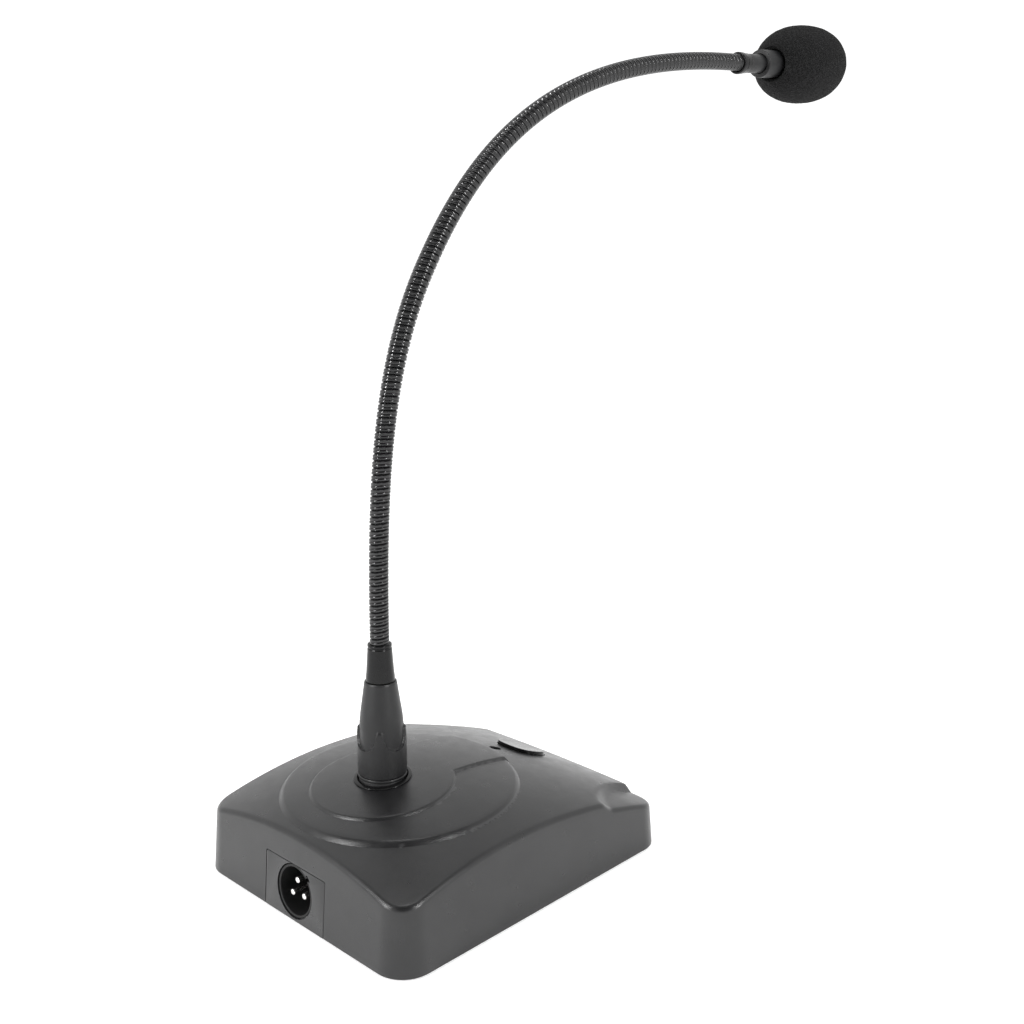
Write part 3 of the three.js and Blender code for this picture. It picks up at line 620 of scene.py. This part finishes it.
def outlet_shell():
    points, faces = turned([
        (0.05, XLR_BACK, 0),
        (XLR_SHELL_RADIUS, XLR_BACK, 0.4),
        (XLR_SHELL_RADIUS, 0, 0.35),
        (XLR_BORE_RADIUS, 0, 0.3),
        (XLR_BORE_RADIUS, -XLR_DEPTH, 0.5),
        (0.05, -XLR_DEPTH, 0),
    ], sides=96)
    points[:, 2] += (FACE_RISE - WALL_DRAFT * points[:, 1]) * np.clip(points[:, 2] + 1, 0, 1)
    cup = bare_object((points, faces), OUTLET)
    cutters = [key_slot()]
    for angle in PIN_ANGLES:
        x, y = polar(PIN_CIRCLE, angle)
        hole = [circle(PIN_RADIUS + 0.1, z, 24, x, y) for z in (XLR_BACK - 1, 1 - XLR_DEPTH)]
        cutters.append(bare_object(loft(hole), OUTLET))
    combine(cup, cutters, "DIFFERENCE")
    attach(dress(cup, "outlet_shell", ["xlr_output_shell"]), BODY_OF["xlr_output_shell"])


def contact_pins(name, node, tail, shoulder, nose, place, mirror=1):
    for i, angle in enumerate(PIN_ANGLES, 1):
        x, y = polar(PIN_CIRCLE, angle)
        side = -1 if nose < tail else 1
        pin = turned([
            (0.05, tail, 0),
            (0.8 * PIN_RADIUS, tail, 0.15),
            (0.8 * PIN_RADIUS, shoulder, 0),
            (PIN_RADIUS, shoulder + 0.02 * side, 0.1),
            (PIN_RADIUS, nose, PIN_RADIUS),
            (0.05, nose, 0),
        ], sides=28, x=mirror * x, y=y)
        piece(f"{name}_{i}", pin, [f"{node}_{i}"], place)


connector_panel()
outlet_shell()
contact_pins("outlet_pin", "xlr_output_pin", XLR_BACK - 3, XLR_BACK, -0.5, OUTLET)


# ---- Underside: the pad and the screws ----

PAD_WIDTH = 80
PAD_LENGTH = 104
PAD_CORNER = 6
PAD_THICKNESS = 1.5
PLATE_BOTTOM = 1.8
SCREW_HEAD_RADIUS = 3


def rounded_rectangle(width, length, rounding, z):
    x, y = width / 2, length / 2
    corners = [(-x, -y, rounding), (x, -y, rounding), (x, y, rounding), (-x, y, rounding)]
    return np.array([(px, py, z) for px, py in soften(corners, closed=True, steps=10)])


def antislip_pad():
    rows = [(0.5, 0), (0.15, 0.08), (0, 0.4), (0, 1.1), (0.15, 1.42), (0.5, PAD_THICKNESS)]
    loops = [rounded_rectangle(PAD_WIDTH - 2 * inset, PAD_LENGTH - 2 * inset, PAD_CORNER, z)
             for inset, z in rows]
    piece("underside_pad", loft(loops), ["antislip_pad"])


def plate_screws():
    """Pan-head screws with a cross recess, their heads under the plate."""
    face = PLATE_BOTTOM - GAP
    for i, (x, y) in enumerate(PLATE_SCREWS, 1):
        screw = bare_object(turned([
            (0.05, face - 1, 0),
            (SCREW_HEAD_RADIUS, face - 1, 1.2),
            (SCREW_HEAD_RADIUS, face, 0.1),
            (SCREW_RADIUS, face, 0),
            (SCREW_RADIUS, SCREW_DEPTH - 1.3, 0),
            (0.05, SCREW_DEPTH - GAP, 0),
        ], sides=40, x=x, y=y))
        arms = [block((x - reach, x + reach), (y - across, y + across), (face - 2, face - 0.35))
                for reach, across in ((1.5, 0.32), (0.32, 1.5))]
        cross = combine(bare_object(arms[0]), [bare_object(arms[1])], "UNION")
        combine(screw, [cross], "DIFFERENCE")
        node = f"plate_screw_{i}"
        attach(dress(screw, f"underside_screw_{i}", [node]), BODY_OF[node])


antislip_pad()
plate_screws()


# ---- Neck socket and its ring ----

SOCKET_RADIUS = 10.2
SOCKET_BOTTOM = 22
SOCKET_TOP = float(roof(0.0, NECK_Y)) + RAISED
GROOVE_INNER = 7.5
GROOVE_OUTER = 9.2
GROOVE_BOTTOM = 29
SPIGOT_RADIUS = GROOVE_OUTER - GAP
SPIGOT_BORE = GROOVE_INNER + GAP
CONTACT_WELL = 2.2
RING_INNER = 9.5
RING_OUTER = 10.9


def neck_socket():
    body = bare_object(turned([
        (0.05, SOCKET_BOTTOM, 0),
        (SOCKET_RADIUS, SOCKET_BOTTOM, 0.3),
        (SOCKET_RADIUS, SOCKET_TOP - 1.2, 0.3),
        (GROOVE_OUTER, SOCKET_TOP - 1.2, 0.3),
        (GROOVE_OUTER, GROOVE_BOTTOM, 0),
        (GROOVE_INNER, GROOVE_BOTTOM, 0),
        (GROOVE_INNER, SOCKET_TOP - 1, 0.6),
        (0.05, SOCKET_TOP - 1, 0),
    ], sides=96), NECK)
    wells = [post(CONTACT_WELL, SOCKET_BOTTOM - 1, CUT_TOP, x, NECK_Y + y, 32)
             for x, y in (polar(PIN_CIRCLE, angle) for angle in PIN_ANGLES)]
    combine(body, wells, "DIFFERENCE")
    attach(dress(body, "arm_socket", ["neck_socket"]), BODY_OF["neck_socket"])


def socket_ring():
    """A rounded bead that follows the slope of the roof under it."""
    bead = soften([
        (RING_INNER, 0.1, 0.1),
        (RING_OUTER, 0.1, 0.15),
        (RING_OUTER, 0.6, 0.4),
        (RING_INNER, 0.75, 0.3),
    ], closed=True)
    loops = [over_roof(circle(radius, 0, 120, 0, NECK_Y), RAISED + rise) for radius, rise in bead]
    piece("arm_socket_ring", loft(loops, ring=True), ["socket_ring"], crease=50)


neck_socket()
socket_ring()


# ---- Button and status light ----


def power_button():
    """An oval cap with rounded edges and a shallow dish, which follows the roof's slope."""
    rows = [(0, -BUTTON_DEPTH)]
    rows += [(BUTTON_EDGE * (1 - math.sin(turn)), BUTTON_PROUD - BUTTON_EDGE * (1 - math.cos(turn)))
             for turn in np.linspace(math.pi / 2, 0, 7)]
    loops = [over_roof(oval(inset, 0), rise) for inset, rise in rows]
    rim = oval(BUTTON_EDGE, 0)
    centre = np.array([0, BUTTON_Y, 0])
    for share in (0.94, 0.88, 0.8, 0.7, 0.58, 0.45, 0.3, 0.15, 0.03):
        dish = BUTTON_DISH * (1 - share ** 2)
        loops.append(over_roof(centre + (rim - centre) * share, BUTTON_PROUD - dish))
    piece("button_cap", loft(loops), ["power_button"])


def status_light():
    top = float(roof(0.0, LED_Y)) - LENS_RECESS
    foot = top - LENS_LENGTH
    piece("status_lens", turned([
        (0.05, foot, 0),
        (LED_RADIUS, foot, 0.2),
        (LED_RADIUS, top - 0.6, 0.7),
        (0.05, top, 0),
    ], sides=48, y=LED_Y), ["status_led"])


power_button()
status_light()


# ---- Plug and lower ferrule ----

SEAM_Z = 79.9
TUBE_BORE = 3.8
PLUG_INSERT_TOP = 51
PLUG_CAVITY_TOP = 62
PLUG_CAVITY_RADIUS = 7.2
PLUG_PIN_TIP = 31
PLUG_FOOT = SOCKET_TOP + 0.7
FERRULE_TOP = 94.2
FERRULE_BEAD = 4.52
FERRULE_GROOVE = 4.3

GRIP_BOTTOM = 54.8  # four U-shaped finger hollows round the plug, with narrow ribs between them
GRIP_TOP = 62.3
GRIP_RADIUS = 8.8  # where distances round the plug are measured
GRIP_HALF_WIDTH = 5.4
RIB_HALF_WIDTH = np.pi / 4 * GRIP_RADIUS - GRIP_HALF_WIDTH
GRIP_EDGE = 0.3  # width of the step between a rib and a hollow
RIB_RADII = [(42.7, 9.15), (54, 9.2), (60, 9.1), (64, 8.75)]
PLUG_RADII = [(42.7, 8.5), (54, 8.25), (60, 8.25), (64, 8.1), (68, 7.7), (72, 7.1), (76, 6.52),
              (SEAM_Z, 5.95)]


def smooth_line(points, at):
    """Values of a soft curve through points of (place, value)."""
    places, values = np.array(points).T
    slopes = np.gradient(values, places)
    i = np.clip(np.searchsorted(places, at) - 1, 0, len(places) - 2)
    step = places[i + 1] - places[i]
    t = (at - places[i]) / step
    return ((1 + 2 * t) * (1 - t) ** 2 * values[i] + t * (1 - t) ** 2 * step * slopes[i]
            + t * t * (3 - 2 * t) * values[i + 1] + t * t * (t - 1) * step * slopes[i + 1])


def plug_radius(z, angle):
    """The plug's outside: ribs and a sleeve at one radius, with the hollows sunk between them."""
    sector = (angle + np.pi / 4) % (np.pi / 2) - np.pi / 4
    across = np.abs(sector) * GRIP_RADIUS
    below = min(z - GRIP_BOTTOM - GRIP_HALF_WIDTH, 0)
    above = max(z - GRIP_TOP + RIB_HALF_WIDTH, 0)
    sunk = ramp((GRIP_HALF_WIDTH - np.hypot(across, below)) / GRIP_EDGE + 0.5)
    beyond = np.hypot(np.pi / 4 * GRIP_RADIUS - across, above) - RIB_HALF_WIDTH
    if above > 0:
        sunk = np.maximum(sunk, ramp(beyond / GRIP_EDGE + 0.5))
    proud = 1 - sunk
    low, high = smooth_line(PLUG_RADII, z), smooth_line(RIB_RADII, min(z, 64))
    groove = 0.22 * math.exp(-((z - PLUG_FOOT - 1.3) / 0.22) ** 2)
    foot = 0.35 * (1 - min((z - PLUG_FOOT) / 0.4, 1)) ** 2
    return low + (high - low) * proud - groove - foot


def plug_shell(sides=176):
    angle = 2 * np.pi * np.arange(sides) / sides
    spigot_foot = GROOVE_BOTTOM + 1
    inside = [
        (TUBE_BORE, SEAM_Z),
        (TUBE_BORE, PLUG_CAVITY_TOP + 2),
        (PLUG_CAVITY_RADIUS, PLUG_CAVITY_TOP),
        (SPIGOT_BORE, PLUG_INSERT_TOP),
        (SPIGOT_BORE, spigot_foot),
        (SPIGOT_RADIUS, spigot_foot),
        (SPIGOT_RADIUS, PLUG_FOOT - GAP),
    ]
    loops = [circle(radius, z, sides) for radius, z in inside]
    heights = np.concatenate([np.linspace(PLUG_FOOT, 45, 14), np.linspace(45, 52, 12)[1:],
                              np.linspace(52, 62, 42)[1:], np.linspace(62, SEAM_Z - 0.25, 26)[1:]])
    for z in heights:
        radius = plug_radius(z, angle)
        loops.append(np.column_stack([radius * np.cos(angle), radius * np.sin(angle), np.full(sides, z)]))
    loops.append(circle(5.8, SEAM_Z, sides))
    piece("plug_body", loft(loops, ring=True), ["plug_shell"], NECK, crease=40)


def lower_ferrule():
    """A gloss cone with a bead round its upper end."""
    foot = SEAM_Z + GAP
    piece("arm_ferrule", turned([
        (TUBE_BORE, foot, 0),
        (5.5, foot, 0.3),
        (5.1, 84, 2),
        (FERRULE_BEAD, FERRULE_TOP - 1.7, 0.2),
        (FERRULE_GROOVE, FERRULE_TOP - 1.4, 0.15),
        (FERRULE_GROOVE, FERRULE_TOP - 1.2, 0.15),
        (FERRULE_BEAD, FERRULE_TOP - 0.9, 0.3),
        (4.45, FERRULE_TOP, 0.3),
        (TUBE_BORE, FERRULE_TOP, 0),
    ], sides=72, ring=True), ["lower_ferrule"], NECK)


plug_shell()
lower_ferrule()
contact_pins("plug_contact", "plug_pin", PLUG_INSERT_TOP + 3, PLUG_INSERT_TOP, PLUG_PIN_TIP, NECK)


# ---- Gooseneck: two wires wound into one ribbed tube, along one line in the middle plane ----

HEAD_Y = 191.7
HEAD_Z = 312.6
HEAD_TILT = 4
ARM_FOOT_Z = 72
STRAIGHT_TOP_Z = 92
SWEEP_JOIN = (-3, 226.7)
LINK_COUNT = 9
UPPER_FERRULE_LENGTH = 6.3
PITCH = 2.5
GROOVE_DEPTH = 0.6  # between one turn and the next
SEAM_DEPTH = 0.2  # between the two wires of a turn
CREST_RADIUS = 3.62


def rib_radius(share):
    """The tube's radius at a share of one turn: two rounded wires, with a deep and a shallow groove."""
    deep = math.exp(-(min(share, 1 - share) / 0.09) ** 2)
    shallow = math.exp(-((share - 0.5) / 0.06) ** 2)
    return CREST_RADIUS - GROOVE_DEPTH * deep - SEAM_DEPTH * shallow


WINDING_SHARES = (0, 0.05, 0.1, 0.17, 0.27, 0.38, 0.45, 0.5, 0.55, 0.62, 0.73, 0.83, 0.9, 0.95)
WINDING = [(share, rib_radius(share)) for share in WINDING_SHARES]


def bezier(*corners):
    t = np.linspace(0, 1, 1500)[:, None]
    a, b, c, d = (np.array(corner, float) for corner in corners)
    return (1 - t) ** 3 * a + 3 * t * (1 - t) ** 2 * b + 3 * t * t * (1 - t) * c + t ** 3 * d


def measure_arm():
    """Points in the (Y, Z) plane along the arm, and the distance of each from its foot."""
    foot, rise = (NECK_Y, ARM_FOOT_Z), (NECK_Y, STRAIGHT_TOP_Z)
    points = np.concatenate([
        np.linspace(foot, rise, 200)[:-1],
        bezier(rise, (NECK_Y, 152.6), (-23.3, 193.3), SWEEP_JOIN)[:-1],
        bezier(SWEEP_JOIN, (27.3, 276.8), (75.1, 309.4), (HEAD_Y, HEAD_Z)),
    ])
    steps = np.linalg.norm(np.diff(points, axis=0), axis=1)
    return points, np.concatenate([[0], np.cumsum(steps)])


ARM_POINTS, ARM_DISTANCES = measure_arm()
ARM_LENGTH = ARM_DISTANCES[-1]
ARM_DIRECTIONS = np.gradient(ARM_POINTS, ARM_DISTANCES, axis=0)


def along_arm(distance):
    """The place and the direction at distances from the arm's foot, in the (Y, Z) plane."""
    inside = np.clip(distance, 0, ARM_LENGTH)
    place, direction = (np.column_stack([np.interp(inside, ARM_DISTANCES, values[:, i]) for i in (0, 1)])
                        for values in (ARM_POINTS, ARM_DIRECTIONS))
    return place + direction * np.reshape(distance - inside, (-1, 1)), direction


def arm_point(distance):
    place, direction = along_arm(np.array([float(distance)]))
    return Vector((0, *place[0])), Vector((0, *direction[0])).normalized()


def wound_tube(start, end, sides=30):
    """A stretch of the tube between two flat cuts, with its quads along the one helix of its ribs."""
    first, last = math.floor(start / PITCH) - 2, math.ceil(end / PITCH) + 2
    rows = [(PITCH * (turn + share), radius) for turn in range(first, last) for share, radius in WINDING]
    height, radius = (np.repeat(values, sides) for values in np.array(rows).T)
    share = np.tile(np.arange(sides) / sides, len(rows))
    place, direction = along_arm(height + PITCH * share)
    across, up = radius * np.cos(2 * np.pi * share), radius * np.sin(2 * np.pi * share)
    points = np.column_stack([across, place[:, 0] + up * direction[:, 1], place[:, 1] - up * direction[:, 0]])
    faces = []
    for i in range(len(rows) - 1 - len(WINDING)):
        for j in range(sides):
            near = i * sides + j
            far = near + 1 if j < sides - 1 else (i + len(WINDING)) * sides
            faces.append((near, far, far + sides, near + sides))
    built = bmesh.new()
    mesh = bpy.data.meshes.new("shape")
    mesh.from_pydata([tuple(point) for point in points * MM], [], faces)
    built.from_mesh(mesh)
    for distance, side in ((start, -1), (end, 1)):
        at, towards = arm_point(distance)
        everything = [*built.verts, *built.edges, *built.faces]
        bmesh.ops.bisect_plane(built, geom=everything, plane_co=at * MM, plane_no=towards * side,
                               clear_outer=True)
    loose = [vert for vert in built.verts if not vert.link_faces]
    bmesh.ops.delete(built, geom=loose, context="VERTS")
    bmesh.ops.holes_fill(built, edges=[edge for edge in built.edges if edge.is_boundary], sides=0)
    bmesh.ops.recalc_face_normals(built, faces=built.faces)
    built.to_mesh(mesh)
    built.free()
    obj = bpy.data.objects.new("shape", mesh)
    bpy.context.scene.collection.objects.link(obj)
    return obj


def gooseneck():
    """Ten stretches that meet at the middles of the CAD's links. The inner eight each stand for two links and
    are left unattached, fixed in place.
    """
    flexible = FERRULE_TOP - ARM_FOOT_Z
    spacing = (ARM_LENGTH - UPPER_FERRULE_LENGTH - flexible) / LINK_COUNT
    middles = [flexible + spacing * (i + 0.5) for i in range(LINK_COUNT)]
    links = [f"gooseneck_link_{i + 1}" for i in range(LINK_COUNT)]
    foot = dress(wound_tube(flexible - 4, middles[0]), "gooseneck_foot", links[:1])
    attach(foot, BODY_OF[links[0]])
    for i in range(LINK_COUNT - 1):
        stretch = dress(wound_tube(middles[i], middles[i + 1]), f"gooseneck_stretch_{i + 1}", links[i:i + 2])
        ends = (arm_point(middle)[0] * MM for middle in middles[i:i + 2])
        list(ends)
        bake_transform(stretch)
    tip = dress(wound_tube(middles[-1], ARM_LENGTH - 1), "gooseneck_tip", links[-1:])
    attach(tip, BODY_OF[links[-1]])


gooseneck()


# ---- Microphone head, built about its own axis, with zero at the upper ferrule's front face ----

HEAD = Matrix.Translation((0, HEAD_Y, HEAD_Z)) @ Matrix.Rotation(math.radians(HEAD_TILT - 90), 4, "X")
STEM_RADIUS = 4.1
STEM_BORE = 2.4
STEM_LENGTH = 15
HEAD_FERRULE_BORE = 4.0
HEAD_FERRULE_FLANGE = 4.68
HEAD_FERRULE_RADIUS = 4.32
HOUSING_RADIUS = 6.05
HOUSING_REAR = 11.5
HOUSING_FRONT = 52
HOUSING_BORE = 5.4
GRILLE_HOLE = 0.42
GRILLE_SPACING = 1.3

FOAM_RADIUS = 17.4
FOAM_HALF_LENGTH = 27
FOAM_CENTRE = 46.4
FOAM_ROUNDNESS = 2.3
FOAM_MOUTH = 0.93  # the share of the half length where the mouth cuts the foam off
FOAM_BORE_FRONT = 54.5


def head_tube():
    piece("head_ferrule", turned([
        (HEAD_FERRULE_BORE, -UPPER_FERRULE_LENGTH, 0),
        (HEAD_FERRULE_FLANGE, -UPPER_FERRULE_LENGTH, 0.3),
        (HEAD_FERRULE_FLANGE, -3.5, 0.5),
        (HEAD_FERRULE_RADIUS, -2.8, 0.3),
        (HEAD_FERRULE_RADIUS, 0, 0.15),
        (HEAD_FERRULE_BORE, 0, 0),
    ], sides=64, ring=True), ["upper_ferrule"], HEAD)
    piece("head_stem", turned([
        (STEM_BORE, GAP, 0),
        (STEM_RADIUS, GAP, 0.2),
        (STEM_RADIUS, STEM_LENGTH, 0.1),
        (STEM_BORE, STEM_LENGTH, 0),
    ], sides=56, ring=True), ["mic_stem"], HEAD)
    piece("capsule_tube", turned([
        (STEM_RADIUS + GAP, HOUSING_REAR, 0),
        (HOUSING_RADIUS, HOUSING_REAR, 0.45),
        (HOUSING_RADIUS, HOUSING_FRONT, 0.3),
        (HOUSING_BORE, HOUSING_FRONT, 0.1),
        (HOUSING_BORE, HOUSING_REAR + 2, 0.3),
        (STEM_RADIUS + GAP, HOUSING_REAR + 2, 0),
    ], sides=72, ring=True), ["capsule_housing"], HEAD)


def capsule_grille():
    """A slightly domed disc with a honeycomb of round holes."""
    bottom = HOUSING_FRONT + GAP
    disc = bare_object(turned([
        (0.05, bottom, 0),
        (HOUSING_RADIUS - 0.2, bottom, 0.1),
        (HOUSING_RADIUS - 0.2, bottom + 0.8, 0.5),
        (0.05, bottom + 1, 0),
    ], sides=72), HEAD)
    holes = []
    for row in range(-4, 5):
        for column in range(-4, 5):
            x = (column + row % 2 / 2) * GRILLE_SPACING
            y = row * GRILLE_SPACING * math.sqrt(3) / 2
            if math.hypot(x, y) < HOUSING_RADIUS - 1.3:
                hole = loft([circle(GRILLE_HOLE, bottom + z, 12, x, y) for z in (-1, 2)])
                holes.append(bare_object(hole, HEAD))
    combine(disc, holes, "DIFFERENCE")
    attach(dress(disc, "capsule_mesh", ["capsule_grille"]), BODY_OF["capsule_grille"])


def foam_windscreen(sides=150, rows=120):
    """The foam's outside, a little uneven, with a lip that turns in round the capsule tube."""
    bore = HOUSING_RADIUS + GAP
    mouth = FOAM_CENTRE - FOAM_MOUTH * FOAM_HALF_LENGTH
    line = [(0.05, FOAM_BORE_FRONT), (bore, FOAM_BORE_FRONT)]
    line += [(bore, z) for z in np.linspace(FOAM_BORE_FRONT, mouth + 3, 20)[1:]]
    line += [(bore + 1.6 * ramp(share) * share, mouth + 3 * (1 - share) ** 1.5 + 0.15)
             for share in np.linspace(0, 1, 9)[1:]]
    angles = np.linspace(math.acos(FOAM_MOUTH), math.pi - 0.01, rows)
    for place in -np.cos(angles):
        bulge = (1 - abs(place) ** FOAM_ROUNDNESS) ** (1 / FOAM_ROUNDNESS)
        line.append((FOAM_RADIUS * bulge, FOAM_CENTRE + place * FOAM_HALF_LENGTH))
    points, faces = loft([circle(radius, z, sides) for radius, z in line])
    centre = np.array([0, 0, FOAM_CENTRE])
    for i in range(len(points) - rows * sides, len(points)):
        outward = (points[i] - centre) / np.linalg.norm(points[i] - centre)
        at = Vector(points[i])
        points[i] += outward * (0.14 * noise.noise(at * 0.35) + 0.09 * noise.noise(at * 1.3))
    foam = piece("windscreen", (points, faces), ["foam_windscreen"], HEAD, crease=60)


head_tube()
capsule_grille()
foam_windscreen()


# ---- Stage, light and the end ----

FLOOR_RADIUS = 8  # metres
FLOOR_DROP = 0.0001  # metres under the desk's level
FLOOR_SIDES = 96
FLOOR_GLOW = 0.55


def stage():
    floor = bare_object(([(x / MM, y / MM, 0) for x, y in circle(FLOOR_RADIUS, 0, FLOOR_SIDES)[:, :2]],
                         [tuple(range(FLOOR_SIDES))]))
    floor.name = "floor"
    floor.location.z = -FLOOR_DROP
    finish = Finish("floor")
    colour = finish.mix(finish.remap(finish.noise(3), 0, 1), (0.86, 0.86, 0.86), (0.89, 0.89, 0.89))
    finish.link(colour, finish.shader.inputs["Base Color"])
    finish.link(colour, finish.shader.inputs["Emission Color"])
    finish.shader.inputs["Emission Strength"].default_value = FLOOR_GLOW
    finish.shader.inputs["Specular IOR Level"].default_value = 0
    finish.shader.inputs["Roughness"].default_value = 0.9
    floor.data.materials.append(finish.material)


def softbox(name, at, size, power, towards=(0, 0.03, 0.12)):
    light = bpy.data.lights.new(name, "AREA")
    light.shape = "RECTANGLE"
    light.size, light.size_y = size
    light.energy = power
    lamp = bpy.data.objects.new(name, light)
    lamp.location = at
    lamp.rotation_euler = (Vector(towards) - Vector(at)).to_track_quat("-Z", "Y").to_euler()
    bpy.context.scene.collection.objects.link(lamp)


DARK_SIDE = (0.35, -0.35, 0.87)  # up and to the rear right, where the ceiling is dark
DARK_FROM = 0.55  # the cosine of the angle to that side where the dark begins, and where it is full
DARK_FULL = 0.85
ROOM_BRIGHT = 1.15
ROOM_DARK = 0.04


def surroundings(bright, dark):
    """A white room that is dark in one direction, by the angle to that direction."""
    world = bpy.data.worlds.new("studio")
    bpy.context.scene.world = world
    world.use_nodes = True
    nodes, links = world.node_tree.nodes, world.node_tree.links
    background = nodes["Background"]
    background.inputs["Color"].default_value = (1, 1, 1, 1)
    nearness = nodes.new("ShaderNodeVectorMath")
    nearness.operation = "DOT_PRODUCT"
    nearness.inputs[1].default_value = Vector(DARK_SIDE).normalized()
    links.new(nodes.new("ShaderNodeTexCoord").outputs["Generated"], nearness.inputs[0])
    fade = nodes.new("ShaderNodeMapRange")
    fade.interpolation_type = "SMOOTHSTEP"
    for key, value in (("From Min", DARK_FROM), ("From Max", DARK_FULL), ("To Min", bright), ("To Max", dark)):
        fade.inputs[key].default_value = value
    links.new(nearness.outputs["Value"], fade.inputs["Value"])
    links.new(fade.outputs["Result"], background.inputs["Strength"])


stage()
bpy.context.scene.view_settings.view_transform = "Standard"
surroundings(ROOM_BRIGHT, ROOM_DARK)
softbox("overhead", (0.05, -0.05, 1.5), (0.5, 0.5), 3)
softbox("left_strip", (-0.3, -1.4, 0.8), (0.08, 1.0), 20)
softbox("right_strip", (1.4, 0.1, 0.8), (0.08, 1.0), 14)

for node, obj in frame["nodes"].items():
    for material_slot in obj.material_slots:
        material_slot.material = FINISHES[SLOT_OF[node]]
